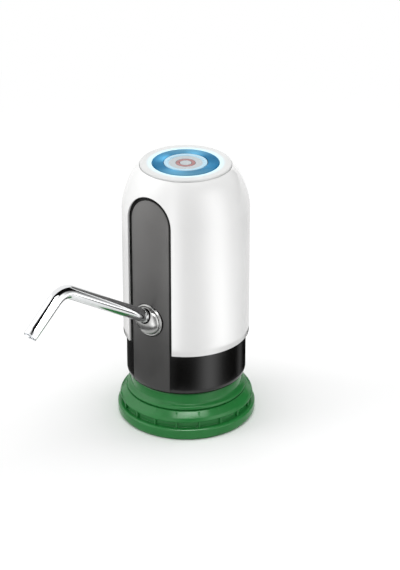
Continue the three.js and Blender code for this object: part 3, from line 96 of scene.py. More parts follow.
OUTLET_Y = -33.0 * MM
OUTLET_Z = 74.2 * MM
OUTLET_ANGLE = math.radians(32.4)
PIPE_RADIUS = 4.0 * MM
PIPE_BORE = 3.4 * MM
PORT_Z = 67.2 * MM
RIB_COUNT = 18
RIB_HALF = 0.65 * MM
RIB_ROOT = 37.2 * MM
WEB_COUNT = 6
THREAD_START = 2.25 * MM
THREAD_PITCH = 4.5 * MM
THREAD_TURNS = 1.4
THREAD_SIZE = 1.2 * MM
BASE_BORE = 32.0 * MM
BASE_LIP_RADIUS = 29.2 * MM
BASE_LIP_TOP = BASE_BOTTOM + 1.2 * MM
BASE_FOOT = 3.5 * MM
FOOT_RADIUS = 33.6 * MM
SEAT_RADIUS = 10.5 * MM
SEAT_BACK = 35.0 * MM
HOLE_RADIUS = 9.2 * MM
SHELL_EDGE = 0.4 * MM
AXIS_RADIUS = 0.0001 * MM
WELD = 0.001 * MM

# The spun metal's rings, in radians a metre, and the way across the light ring to the sides where a
# painted reflection makes it pale
SPUN_RINGS = 22000.0
PAINTED_REFLECTION_AXIS = (0.62, 0.785)

# The photo's view, the floor and the sheets of light, in metres, and the lens in millimetres
AZIMUTH = math.radians(38.3)
ELEVATION = math.radians(26.2)
DISTANCE = 1.312
LENS = 137.5
TARGET_HEIGHT = 83.5 * MM
TARGET_SHIFT = 8.4 * MM
FLOOR_RADIUS = 6.0
FLOOR_DEPTH = 0.02
FLOOR_GAP = 0.1 * MM
FLOOR_FADE = (0.25, 0.6)
AMBIENT = 0.62
SHEET_LIFT = 0.6 * MM
SHEET_REACH = 1.3
SHEET_STEP = 0.2 * MM
CARD_DISTANCE = 1.2
CARD_CENTRE = Vector((0, -0.08, 0.09))


# Shapes
def rounded(points, radii):
    """An open outline of [radius, height] corners, each rounded by a radius in millimetres."""
    out, steps = [], 5
    for i, (point, radius) in enumerate(zip(points, radii)):
        p = np.array(point, float)
        if radius <= 0 or i in (0, len(points) - 1):
            out.append(tuple(p))
            continue
        a, b = np.array(points[i - 1], float) - p, np.array(points[i + 1], float) - p
        la, lb = np.linalg.norm(a), np.linalg.norm(b)
        a, b = a / la, b / lb
        half = math.acos(max(-1.0, min(1.0, float(a @ b)))) / 2
        if half > math.radians(89):
            out.append(tuple(p))
            continue
        reach = min(radius * MM / math.tan(half), 0.49 * la, 0.49 * lb)
        size = reach * math.tan(half)
        middle = p + (a + b) / np.linalg.norm(a + b) * size / math.sin(half)
        start, end = p + a * reach - middle, p + b * reach - middle
        for k in range(steps + 1):
            t = k / steps
            direction = start * (1 - t) + end * t
            out.append(tuple(middle + direction / np.linalg.norm(direction) * size))
    return out


def clamped(value):
    return min(max(value, 0), 1)


def on_wall(radius, angle, height):
    """A point by its distance from the axis, its angle from the front and its height."""
    return radius * math.sin(angle), -radius * math.cos(angle), height


def bands(rings, size, wrap=False, closed=True):
    """Quads between rings of as many points each, and from the last to the first if they wrap."""
    faces = []
    for k in range(rings if wrap else rings - 1):
        here, there = k * size, (k + 1) % rings * size
        for i in range(size if closed else size - 1):
            j = (i + 1) % size
            faces.append((here + i, here + j, there + j, there + i))
    return faces


def ends(rings, size):
    """The two faces that close the first and the last ring."""
    return [tuple(range(size))[::-1], tuple(range((rings - 1) * size, rings * size))]


def from_faces(name, points, faces):
    """An object of these faces, with the points that lie on each other welded."""
    mesh = bpy.data.meshes.new(name)
    mesh.from_pydata([tuple(p) for p in points], [], faces)
    work = bmesh.new()
    work.from_mesh(mesh)
    bmesh.ops.remove_doubles(work, verts=work.verts, dist=WELD)
    bmesh.ops.dissolve_degenerate(work, edges=work.edges, dist=WELD / 10)
    bmesh.ops.recalc_face_normals(work, faces=work.faces)
    work.to_mesh(mesh)
    work.free()
    piece = bpy.data.objects.new(name, mesh)
    bpy.context.scene.collection.objects.link(piece)
    return piece


def turned(name, outline, sides, closed=True):
    """A closed solid from an outline of [radius, height], turned about +Z."""
    angles = [2 * math.pi * k / sides for k in range(sides)]
    points = [(r * math.cos(a), r * math.sin(a), z) for a in angles for r, z in outline]
    return from_faces(name, points, bands(sides, len(outline), True, closed))


def block(name, low, high):
    points = [(x, y, z) for x in (low[0], high[0]) for y in (low[1], high[1]) for z in (low[2], high[2])]
    faces = [(0, 1, 3, 2), (4, 6, 7, 5), (0, 4, 5, 1), (2, 3, 7, 6), (0, 2, 6, 4), (1, 5, 7, 3)]
    return from_faces(name, points, faces)


def placed(piece, matrix):
    piece.data.transform(matrix)
    return piece


def plug(name, radius, low, high, sides, matrix):
    """A round solid along a matrix's +Z."""
    outline = [(0, low), (radius, low), (radius, high), (0, high)]
    return placed(turned(name, outline, sides, False), matrix)


def turned_copies(count, make):
    """Copies of a piece, turned evenly about +Z."""
    return [placed(make(), Matrix.Rotation(2 * math.pi * k / count, 4, "Z")) for k in range(count)]


def joined(pieces):
    """One object from several, which must not overlap if it is to be a cutter."""
    work = bmesh.new()
    for piece in pieces:
        work.from_mesh(piece.data)
    first = pieces[0]
    work.to_mesh(first.data)
    work.free()
    for piece in pieces[1:]:
        bpy.data.objects.remove(piece)
    return first


def combined(piece, other, operation="DIFFERENCE"):
    """Cuts the other solid from a piece, or joins it to the piece."""
    modifier = piece.modifiers.new("combine", "BOOLEAN")
    modifier.operation = operation
    modifier.solver = "EXACT"
    modifier.object = other
    bpy.context.view_layer.update()
    graph = bpy.context.evaluated_depsgraph_get()
    mesh = bpy.data.meshes.new_from_object(piece.evaluated_get(graph))
    piece.modifiers.clear()
    piece.data = mesh
    bpy.data.objects.remove(other)


def smooth(piece, degrees=32):
    """Smooth shading, with the edges sharper than an angle kept crisp."""
    work = bmesh.new()
    work.from_mesh(piece.data)
    limit = math.radians(degrees)
    for edge in work.edges:
        edge.smooth = len(edge.link_faces) == 2 and edge.calc_face_angle() < limit
    for face in work.faces:
        face.smooth = True
    work.to_mesh(piece.data)
    work.free()
    return piece


def along_outlet():
    """Takes +Z to the spout's axis, and the origin to a point on it inside the escutcheon."""
    turn = Matrix.Rotation(math.pi / 2 - OUTLET_ANGLE, 4, "X")
    return Matrix.Translation((0, OUTLET_Y, OUTLET_Z)) @ turn


def along_front():
    """Takes +Z to the front, at the outlet's height."""
    return Matrix.Translation((0, 0, OUTLET_Z)) @ Matrix.Rotation(math.pi / 2, 4, "X")


def dome_radius(height, inset):
    across = SHELL_RADIUS - DOME_TOP_RADIUS - inset
    share = clamped((height - DOME_START) / (DOME_HEIGHT - inset))
    return DOME_TOP_RADIUS + across * (1 - share ** DOME_EXPONENT) ** (1 / DOME_EXPONENT)


def dome_height(radius, inset):
    across = SHELL_RADIUS - DOME_TOP_RADIUS - inset
    share = clamped((radius - DOME_TOP_RADIUS) / across)
    return DOME_START + (DOME_HEIGHT - inset) * (1 - share ** DOME_EXPONENT) ** (1 / DOME_EXPONENT)


def dome_rows(low, high, inset, count):
    """Heights and radii up the dome, closer together where it curves most."""
    def angle(height):
        share = clamped((height - DOME_START) / (DOME_HEIGHT - inset))
        return math.asin(min(share ** (DOME_EXPONENT / 2), 1))
    start, end = angle(low), angle(high)
    rows = []
    for k in range(1, count + 1):
        a = start + (end - start) * k / count
        height = DOME_START + (DOME_HEIGHT - inset) * math.sin(a) ** (2 / DOME_EXPONENT)
        rows.append((dome_radius(height, inset), height))
    return rows


# Materials
def socket(shader, name, value):
    shader.inputs[name].default_value = value


def noise(tree, scale, detail=3.0):
    place = tree.nodes.new("ShaderNodeTexCoord")
    texture = tree.nodes.new("ShaderNodeTexNoise")
    texture.inputs["Scale"].default_value = scale
    texture.inputs["Detail"].default_value = detail
    tree.links.new(place.outputs["Object"], texture.inputs["Vector"])
    return texture.outputs["Fac"]


def mapped(tree, value, low, high, to_low, to_high, steps="LINEAR"):
    node = tree.nodes.new("ShaderNodeMapRange")
    node.interpolation_type = steps
    node.inputs["From Min"].default_value = low
    node.inputs["From Max"].default_value = high
    node.inputs["To Min"].default_value = to_low
    node.inputs["To Max"].default_value = to_high
    tree.links.new(value, node.inputs["Value"])
    return node.outputs["Result"]


def blended(tree, share, first, second):
    """Mixes two colours, each a tuple or an output, by a share from 0 to 1."""
    node = tree.nodes.new("ShaderNodeMix")
    node.data_type = "RGBA"
    tree.links.new(share, node.inputs["Factor"])
    for name, value in (("A", first), ("B", second)):
        inputs = [s for s in node.inputs if s.name == name and s.type == "RGBA"]
        if isinstance(value, tuple):
            inputs[0].default_value = (*value, 1.0)
        else:
            tree.links.new(value, inputs[0])
    return [s for s in node.outputs if s.type == "RGBA"][0]


def maths(tree, operation, first, second=None, third=None):
    node = tree.nodes.new("ShaderNodeMath")
    node.operation = operation
    for i, value in enumerate((first, second, third)):
        if value is None:
            continue
        if isinstance(value, (int, float)):
            node.inputs[i].default_value = value
        else:
            tree.links.new(value, node.inputs[i])
    return node.outputs["Value"]


def length_of(tree, first, second):
    squares = [maths(tree, "MULTIPLY", value, value) for value in (first, second)]
    return maths(tree, "SQRT", maths(tree, "ADD", *squares))


def patches(tree, scale, low=0.0, high=1.0):
    """Soft patches that vary from a low to a high value."""
    return mapped(tree, noise(tree, scale), 0.3, 0.7, low, high)


def bumped(tree, shader, height, strength, distance):
    node = tree.nodes.new("ShaderNodeBump")
    node.inputs["Strength"].default_value = strength
    node.inputs["Distance"].default_value = distance
    tree.links.new(height, node.inputs["Height"])
    tree.links.new(node.outputs["Normal"], shader.inputs["Normal"])


def coordinates(tree):
    texture = tree.nodes.new("ShaderNodeTexCoord")
    split = tree.nodes.new("ShaderNodeSeparateXYZ")
    tree.links.new(texture.outputs["Object"], split.inputs["Vector"])
    return split.outputs["X"], split.outputs["Y"], split.outputs["Z"]


def new_material(name):
    """A material, its tree and its shader."""
    material = bpy.data.materials.new(name)
    material.use_nodes = True
    return material, material.node_tree, material.node_tree.nodes["Principled BSDF"]


def surface(name, light, dark, roughness, scale=60.0, grain=900.0, relief=0.00002,
            strength=0.15, metallic=0.0, **sockets):
    """A moulded or metal finish: colour and roughness that vary a little, and a fine relief."""
    material, tree, shader = new_material(name)
    tree.links.new(blended(tree, patches(tree, scale), dark, light), shader.inputs["Base Color"])
    tree.links.new(patches(tree, scale * 3, *roughness), shader.inputs["Roughness"])
    bumped(tree, shader, noise(tree, grain, 2.0), strength, relief)
    socket(shader, "Metallic", metallic)
    for key, value in sockets.items():
        socket(shader, key.replace("_", " "), value)
    material.diffuse_color = (*light, 1.0)
    return material


def opened(material):
    """A finish's tree, its shader and the colour that reaches the shader."""
    shader = material.node_tree.nodes["Principled BSDF"]
    return material.node_tree, shader, shader.inputs["Base Color"].links[0].from_socket


def radius_of(tree):
    x, y, _ = coordinates(tree)
    return length_of(tree, x, y)


def dressed(piece, material):
    piece.data.materials.clear()
    piece.data.materials.append(material)


def shown(piece, body, slot, material, *replaced):
    """A finished piece: its material, the body it rides on and the nodes it stands for."""
    dressed(piece, material)
    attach(piece, body)
    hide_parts(*replaced)


def numbered(name, count):
    return [f"{name}_{k}" for k in range(1, count + 1)]


white_shell = surface(
    "shell_white", (0.87, 0.87, 0.865), (0.85, 0.85, 0.845), (0.10, 0.14), scale=25.0,
    grain=700.0, relief=0.00001, Coat_Weight=1.0, Coat_Roughness=0.05, Coat_IOR=1.5,
)
green = surface(
    "neck_green", (0.022, 0.200, 0.045), (0.017, 0.172, 0.036), (0.16, 0.22), scale=80.0,
    grain=1400.0, relief=0.00001, strength=0.1, Specular_IOR_Level=0.22,
    Coat_Weight=0.12, Coat_Roughness=0.18, Coat_IOR=1.5,
)
polished = surface(
    "spout_steel", (0.86, 0.87, 0.88), (0.80, 0.81, 0.82), (0.05, 0.10), scale=40.0,
    grain=2500.0, relief=0.000004, metallic=1.0,
)
grey = surface(
    "grey_plastic", (0.66, 0.67, 0.67), (0.60, 0.61, 0.61), (0.28, 0.40), grain=1800.0,
)
rubber = surface(
    "dark_rubber", (0.035, 0.036, 0.038), (0.022, 0.023, 0.025), (0.55, 0.72), grain=1600.0,
    relief=0.00005, strength=0.3,
)
pump_black = surface("pump_black", (0.03, 0.028, 0.027), (0.02, 0.019, 0.018), (0.4, 0.55))
silicone = surface(
    "silicone", (0.70, 0.73, 0.72), (0.62, 0.65, 0.64), (0.35, 0.5), Transmission_Weight=0.25,
)
frame_grey = surface("frame_grey", (0.27, 0.29, 0.30), (0.22, 0.24, 0.25), (0.5, 0.65))
satin = surface(
    "satin_metal", (0.62, 0.63, 0.64), (0.52, 0.53, 0.54), (0.25, 0.38), metallic=1.0,
)
board = surface("board_green", (0.015, 0.11, 0.045), (0.01, 0.08, 0.03), (0.3, 0.45), scale=400.0)
battery = surface("battery_wrap", (0.03, 0.17, 0.42), (0.025, 0.14, 0.36), (0.2, 0.3))
copper = surface("copper", (0.75, 0.38, 0.22), (0.6, 0.28, 0.15), (0.25, 0.4), metallic=1.0)
ferrite = surface("ferrite", (0.05, 0.05, 0.052), (0.035, 0.035, 0.037), (0.6, 0.8), grain=2500.0)
lead_red = surface("lead_red", (0.52, 0.03, 0.025), (0.45, 0.02, 0.02), (0.35, 0.5))
lead_black = surface("lead_black", (0.02, 0.02, 0.02), (0.012, 0.012, 0.012), (0.35, 0.5))


def panel_finish():
    """Warm grey satin plastic, with painted light that makes it lighter towards the panel's top."""
    material = surface(
        "panel_grey", (0.045, 0.044, 0.043), (0.038, 0.037, 0.036), (0.34, 0.44), scale=30.0,
        grain=1200.0, relief=0.00001,
    )
    tree, shader, plain = opened(material)
    # Painted light: a ramp by height multiplies the colour from 0.75 at the bottom to 3 at the top
    ramp = tree.nodes.new("ShaderNodeValToRGB")
    painted_light_stops, brightest = [(0.0, 0.75), (0.25, 0.88), (0.6, 2.0), (1.0, 3.0)], 3.0
    while len(ramp.color_ramp.elements) < len(painted_light_stops):
        ramp.color_ramp.elements.new(0.5)
    for element, (place, level) in zip(ramp.color_ramp.elements, painted_light_stops):
        element.position = place
        element.color = (*[level / brightest] * 3, 1.0)
    up = mapped(tree, coordinates(tree)[2], 30 * MM, ARCH_TOP, 0.0, 1.0)
    tree.links.new(up, ramp.inputs["Fac"])
    lit = tree.nodes.new("ShaderNodeVectorMath")
    lit.operation = "MULTIPLY"
    tree.links.new(plain, lit.inputs[0])
    tree.links.new(mapped(tree, ramp.outputs["Color"], 0.0, 1.0, 0.0, brightest), lit.inputs[1])
    tree.links.new(lit.outputs["Vector"], shader.inputs["Base Color"])
    return material


def bezel_finish():
    """Light grey plastic with painted light from the lit ring along its inner edge: a pale blue tint and
    a faint glow.
    """
    material = surface(
        "bezel_grey", (0.70, 0.705, 0.70), (0.65, 0.655, 0.65), (0.18, 0.26), grain=1500.0,
    )
    tree, shader, plain = opened(material)
    # Painted light: the lit ring's spill, as a tint and an emission that fade out from the inner edge
    glow = mapped(tree, radius_of(tree), 20.2 * MM, 24.0 * MM, 1.0, 0.0, "SMOOTHSTEP")
    tree.links.new(blended(tree, glow, plain, (0.66, 0.88, 0.97)), shader.inputs["Base Color"])
    socket(shader, "Emission Color", (0.35, 0.85, 1.0, 1.0))
    tree.links.new(maths(tree, "MULTIPLY", glow, 0.12), shader.inputs["Emission Strength"])
    return material


def light_finish():
    """Blue plastic, lit from below by four lamps, with painted light that makes it lighter towards -X and
    a painted reflection that makes it paler at the side nearest the camera and the side opposite.
    """
    material = surface(
        "light_blue", (0.02, 0.26, 0.58), (0.005, 0.10, 0.30), (0.25, 0.35), grain=1200.0,
        relief=0.00001, Specular_IOR_Level=0.03,
    )
    tree, shader, _ = opened(material)
    x, y, _ = coordinates(tree)
    angle = maths(tree, "ARCTAN2", y, x)
    wave = maths(tree, "SINE", maths(tree, "MULTIPLY_ADD", angle, 4.0, 0.6))
    near = mapped(tree, radius_of(tree), 13.3 * MM, 19.7 * MM, 1.0, 0.0)
    share = maths(tree, "MULTIPLY", mapped(tree, wave, -0.4, 1.0, 0.2, 1.0), near)
    # Painted light: the ring's colour and glow fade from -X towards +X
    share = maths(tree, "MULTIPLY", share, mapped(tree, x, -12 * MM, 14 * MM, 1.0, 0.25))
    colour = blended(tree, share, (0.010, 0.130, 0.270), (0.11, 0.42, 0.68))
    # Painted reflection: paler grey-blue towards the side nearest the camera and the side opposite
    parts = [maths(tree, "MULTIPLY", *pair) for pair in zip((x, y), PAINTED_REFLECTION_AXIS)]
    along = maths(tree, "ABSOLUTE", maths(tree, "SUBTRACT", *parts))
    pale = mapped(tree, along, 8 * MM, 18 * MM, 0.0, 0.35)
    colour = blended(tree, pale, colour, (0.24, 0.48, 0.58))
    tree.links.new(colour, shader.inputs["Base Color"])
    tree.links.new(colour, shader.inputs["Emission Color"])
    tree.links.new(mapped(tree, wave, -1.0, 1.0, 0.0, 0.25), shader.inputs["Emission Strength"])
    return material


def button_finish():
    """A light grey dish, with painted light from the lit ring tinting its rim."""
    material = surface(
        "button_grey", (0.47, 0.51, 0.53), (0.43, 0.47, 0.49), (0.2, 0.3), grain=1500.0,
    )
    tree, shader, plain = opened(material)
    # Painted light: the rim takes a pale blue tint from the lit ring
    rim = mapped(tree, radius_of(tree), 9.7 * MM, 10.3 * MM, 0.0, 1.0, "SMOOTHSTEP")
    tree.links.new(blended(tree, rim, plain, (0.42, 0.64, 0.76)), shader.inputs["Base Color"])
    return material


def housing_finish():
    """Glossy black round the base, dull on the narrow rim that frames the front panel."""
    material = surface(
        "housing_dark", (0.005, 0.0049, 0.0048), (0.0035, 0.0034, 0.0034), (0.10, 0.14),
        scale=30.0, grain=1200.0, relief=0.00001,
    )
    tree, shader, _ = opened(material)
    shine = mapped(tree, coordinates(tree)[2], SHELL_BOTTOM, SHELL_BOTTOM + 2 * MM, 0.5, 0.08)
    tree.links.new(shine, shader.inputs["Specular IOR Level"])
    return material


def escutcheon_finish():
    """Satin metal with the fine rings of a spun finish."""
    material = surface(
        "escutcheon_satin", (0.40, 0.40, 0.395), (0.31, 0.31, 0.305), (0.20, 0.28), metallic=1.0,
    )
    tree, shader, _ = opened(material)
    x, _, z = coordinates(tree)
    radius = length_of(tree, x, maths(tree, "SUBTRACT", z, OUTLET_Z))
    rings = maths(tree, "SINE", maths(tree, "MULTIPLY", radius, SPUN_RINGS))
    bumped(tree, shader, rings, 0.12, 0.00001)
    return material


housing_dark = housing_finish()
panel_grey = panel_finish()
bezel_grey = bezel_finish()
light_blue = light_finish()
button_grey = button_finish()
escutcheon_satin = escutcheon_finish()
icon_red = surface("icon_red", (0.40, 0.19, 0.19), (0.34, 0.15, 0.15), (0.35, 0.5), scale=300.0)


# Neck nut: two green rings with a ribbed groove between them
def neck_nut():
    outline = rounded([
        (NUT_THREAD_RADIUS, 0), (NUT_EDGE_RADIUS, 0), (NUT_RADIUS, 1.8 * MM),
        (NUT_RADIUS, NUT_RING_TOP - 0.9 * MM), (NUT_EDGE_RADIUS, NUT_RING_TOP),
        (NUT_GROOVE_RADIUS, NUT_RING_TOP), (NUT_GROOVE_RADIUS, NUT_GROOVE_TOP),
        (40.35 * MM, NUT_GROOVE_TOP), (NUT_RIM_RADIUS, NUT_GROOVE_TOP + 0.9 * MM),
        (39.9 * MM, NUT_RIM_TOP), (NUT_TOP_RADIUS, NUT_TOP), (NUT_LIP_RADIUS, NUT_TOP),
        (NUT_LIP_RADIUS, NUT_LIP_BOTTOM), (NUT_THREAD_RADIUS, NUT_LIP_BOTTOM),
    ], [0, 0.5, 1.5, 1.2, 0.9, 0.3, 0.3, 0.4, 0.7, 0.8, 0.8, 0.3, 0.2, 0])
    body = turned("neck_nut_moulding", outline, 180)
    hollow = turned("hollow", [
        (NUT_SLEEVE_RADIUS, -2 * MM), (NUT_SKIRT_RADIUS, -2 * MM), (NUT_SKIRT_RADIUS, NUT_GROOVE_TOP),
        (34.5 * MM, NUT_HOLLOW_TOP), (NUT_SLEEVE_RADIUS, NUT_HOLLOW_TOP)], 120)
    combined(body, hollow)
    combined(body, joined(nut_ribs()), "UNION")
    combined(body, joined(nut_webs()), "UNION")
    combined(body, neck_thread(), "UNION")
    shown(smooth(body), "neck_nut", "neck_green", green, "neck_nut")


def nut_ribs():
    """Rounded ribs that cross the groove and the sloping shoulder."""
    outline = [
        (37.0 * MM, 6.1 * MM), (39.9 * MM, 6.1 * MM), (40.2 * MM, 7.0 * MM), (40.2 * MM, 12.9 * MM),
        (37.5 * MM, 16.6 * MM), (34.0 * MM, 16.6 * MM), (34.0 * MM, 14.7 * MM), (37.0 * MM, 11.5 * MM)]
    layers = [(-1, 0.35), (-0.75, 0.1), (-0.4, 0), (0.4, 0), (0.75, 0.1), (1, 0.35)]
    points = []
    for side, inset in layers:
        for radius, height in outline:
            cut = inset * MM if radius > RIB_ROOT else 0
            points.append((radius - cut, side * RIB_HALF, height - cut))
    faces = bands(len(layers), len(outline)) + ends(len(layers), len(outline))
    return turned_copies(RIB_COUNT, lambda: from_faces("rib", points, faces))


def nut_webs():
    low, high = (26.1 * MM, -0.7 * MM, 0.9 * MM), (38.2 * MM, 0.7 * MM, 14.0 * MM)
    return turned_copies(WEB_COUNT, lambda: block("web", low, high))


def neck_thread():
    """One helical ridge inside the nut, tapered at both ends."""
    points = []
    steps, sides = 90, 10
    for k in range(steps + 1):
        angle = 2 * math.pi * THREAD_TURNS * k / steps
        height = THREAD_START + THREAD_PITCH * THREAD_TURNS * k / steps
        size = THREAD_SIZE * min(1, 0.25 + min(k, steps - k) / 6)
        for i in range(sides):
            turn = 2 * math.pi * i / sides
            radius = NUT_THREAD_RADIUS + size * math.cos(turn)
            points.append((radius * math.cos(angle), radius * math.sin(angle),
                           height + size * math.sin(turn)))
    return from_faces("thread", points, bands(steps + 1, sides) + ends(steps + 1, sides))


# Neck spigot: the beaded shoulder that the pump stands on
def neck_spigot():
    outline = rounded([
        (SPIGOT_BORE, SPIGOT_BOTTOM), (SPIGOT_FLANGE_RADIUS, SPIGOT_BOTTOM),
        (SPIGOT_FLANGE_RADIUS, SPIGOT_FLANGE_TOP), (WAIST_RADIUS, SPIGOT_FLANGE_TOP),
        (WAIST_RADIUS, SHOULDER_BOTTOM), (36.1 * MM, SHOULDER_BOTTOM),
        (36.8 * MM, 18.1 * MM), (36.1 * MM, 19.3 * MM), (34.7 * MM, 20.3 * MM),
        (SHOULDER_RADIUS, 21.3 * MM), (33.8 * MM, 26.0 * MM), (33.3 * MM, SHOULDER_TOP),
        (SPIGOT_RADIUS, SHOULDER_TOP), (SPIGOT_RADIUS, SPIGOT_TOP - 1 * MM),
        (26.5 * MM, SPIGOT_TOP), (SPIGOT_CUP_RADIUS, SPIGOT_TOP),
        (SPIGOT_CUP_RADIUS, SPIGOT_CUP_FLOOR), (SPIGOT_BORE, SPIGOT_CUP_FLOOR),
    ], [0, 0.2, 0.2, 0.2, 0.2, 0.5, 0.9, 0.9, 0.8, 1.0, 0.5, 0.6, 0.3, 0.8, 0.5, 0.4, 0.4, 0])
    body = turned("neck_spigot_moulding", outline, 180)
    shown(smooth(body), "neck_spigot", "neck_green", green, "neck_spigot")


# Housing: base ring and front tongue in one dark moulding
def lower_housing():
    half = ARCH_HALF + TONGUE_MARGIN
    edge, front_steps, back_steps = math.asin(half / HOUSING_RADIUS), 40, 150
    front = [-edge + 2 * edge * k / front_steps for k in range(front_steps + 1)]
    back = [edge + (2 * math.pi - 2 * edge) * k / back_steps for k in range(1, back_steps)]
    angles = front + back
    foot = [(FOOT_RADIUS + (HOUSING_RADIUS - FOOT_RADIUS) * math.sin(a),
             BASE_BOTTOM + BASE_FOOT * (1 - math.cos(a))) for a in [math.pi / 16 * k for k in range(9)]]
    inner = HOUSING_RADIUS - HOUSING_WALL
    lower = [(AXIS_RADIUS, DECK_TOP), (inner, DECK_TOP), (inner, COLLAR_TOP)]
    outer = [(AXIS_RADIUS, DECK_BOTTOM), (BASE_BORE, DECK_BOTTOM), (BASE_BORE, BASE_LIP_TOP),
             (BASE_LIP_RADIUS, BASE_LIP_TOP), (BASE_LIP_RADIUS, BASE_BOTTOM), *foot,
             (HOUSING_RADIUS, 30.8 * MM), (HOUSING_RADIUS, 31.2 * MM), (HOUSING_RADIUS, 40 * MM),
             (HOUSING_RADIUS, SHELL_BOTTOM), (HOUSING_RADIUS, COLLAR_TOP)]
    rows, count, tongue = 30, len(angles), len(front)
    points, faces, index = [], [], {}

    def corner(part, i, j, radius, height):
        index[part, i, j] = len(points)
        points.append(on_wall(radius, angles[j], height))

    def quad(*keys):
        faces.append([index[key] for key in keys])

    def tongue_top(angle):
        share = min(abs(HOUSING_RADIUS * math.sin(angle)) / half, 1)
        return ARCH_SPRING + (ARCH_RISE + TONGUE_MARGIN) * math.sqrt(1 - share ** 2)

    for j in range(count):
        for part, profile in (("outer", outer), ("lower", lower)):
            for i, (radius, height) in enumerate(profile):
                corner(part, i, j, radius, height)
    for j in range(count):
        k = (j + 1) % count
        for i in range(len(outer) - 1):
            quad(("outer", i, j), ("outer", i, k), ("outer", i + 1, k), ("outer", i + 1, j))
        for i in range(len(lower) - 1):
            quad(("lower", i, j), ("lower", i + 1, j), ("lower", i + 1, k), ("lower", i, k))
    rim, collar = ("outer", len(outer) - 1), ("lower", len(lower) - 1)
    for j in range(tongue):
        top = tongue_top(angles[j])
        for row in range(1, rows + 1):
            height = COLLAR_TOP + (top - COLLAR_TOP) * row / rows
            corner("face", row, j, dome_radius(height, TONGUE_INSET), height)
            corner("back", row, j, dome_radius(height, TONGUE_INSET + HOUSING_WALL), height)
        index["face", 0, j] = index[(*rim, j)]
        index["back", 0, j] = index[(*collar, j)]
    for j in range(tongue - 1):
        k = j + 1
        for row in range(rows):
            quad(("face", row, j), ("face", row, k), ("face", row + 1, k), ("face", row + 1, j))
            quad(("back", row, j), ("back", row + 1, j), ("back", row + 1, k), ("back", row, k))
        quad(("face", rows, j), ("face", rows, k), ("back", rows, k), ("back", rows, j))
    for j in (0, tongue - 1):
        for row in range(rows):
            quad(("face", row, j), ("face", row + 1, j), ("back", row + 1, j), ("back", row, j))
    for j in range(tongue - 1, count):
        k = (j + 1) % count
        quad((*rim, j), (*rim, k), (*collar, k), (*collar, j))
    body = from_faces("housing_moulding", points, faces)
    combined(body, plug("seat", SEAT_RADIUS, SEAT_BACK, 50 * MM, 96, along_front()))
    combined(body, plug("hole", HOLE_RADIUS, 20 * MM, 45 * MM, 96, along_front()))
    recess = arch_plate("recess", PANEL_INSET - FIT_GAP, BASE_BOTTOM + 1.0 * MM,
                        [(0.0, -1.0 * MM), (0.0, 3.2 * MM)])
    combined(body, recess)
    shown(smooth(body), "pump_housing", "black_housing", housing_dark, "lower_housing")


def front_radius(height, inset):
    """The radius of the tongue and the base ring, less an inset from the white shell's face."""
    if height >= BASE_BOTTOM + BASE_FOOT:
        return dome_radius(height, inset)
    share = 1 - max(height - BASE_BOTTOM, 0) / BASE_FOOT
    bulge = (HOUSING_RADIUS - FOOT_RADIUS) * math.sqrt(1 - share ** 2)
    return FOOT_RADIUS + bulge + TONGUE_INSET - inset


def arch_plate(name, edge, bottom, layers):
    """A closed plate with the arch's outline less an edge; layers are [further edge, inset]."""
    columns, rows = 44, 64

    def at(share, row, margin, inset):
        half, rise = ARCH_HALF - edge - margin, ARCH_RISE - edge - margin
        low = bottom + margin
        top = ARCH_SPRING + rise * math.sqrt(max(1 - share * share, 0))
        height = low + (top - low) * row / rows
        x = share * half
        return (x, -math.sqrt(front_radius(height, inset) ** 2 - x * x), height)

    shares = [math.sin(math.pi / 2 * (2 * j / columns - 1)) for j in range(columns + 1)]
    border = [(j, 0) for j in range(columns)] + [(columns, i) for i in range(rows)]
    border += [(columns - j, rows) for j in range(columns)] + [(0, rows - i) for i in range(rows)]
    points, faces, loops = [], [], []
    for k, (margin, inset) in enumerate(layers):
        index = {}
        whole = k in (0, len(layers) - 1)
        cells = [(j, i) for j in range(columns + 1) for i in range(rows + 1)] if whole else border
        for j, i in cells:
            index[j, i] = len(points)
            points.append(at(shares[j], i, margin, inset))
        if whole:
            faces += [(index[j, i], index[j + 1, i], index[j + 1, i + 1], index[j, i + 1])
                      for j in range(columns) for i in range(rows)]
        loops.append([index[key] for key in border])
    for first, second in zip(loops, loops[1:]):
        for n in range(len(border)):
            m = (n + 1) % len(border)
            faces.append((first[n], first[m], second[m], second[n]))
    return from_faces(name, points, faces)


# Grey panel, set flush in the front of the tongue and the base ring
def front_panel():
    body = arch_plate("front_panel_plate", PANEL_INSET, BASE_BOTTOM + 1.3 * MM, [
        (0.28 * MM, TONGUE_INSET), (0.13 * MM, TONGUE_INSET + 0.04 * MM),
        (0.04 * MM, TONGUE_INSET + 0.13 * MM), (0.0, TONGUE_INSET + 0.28 * MM),
        (0.0, TONGUE_INSET + 1.0 * MM)])
    combined(body, plug("seat", SEAT_RADIUS, 20 * MM, 50 * MM, 96, along_front()))
    shown(smooth(body), "pump_housing", "grey_panel", panel_grey, "front_panel")


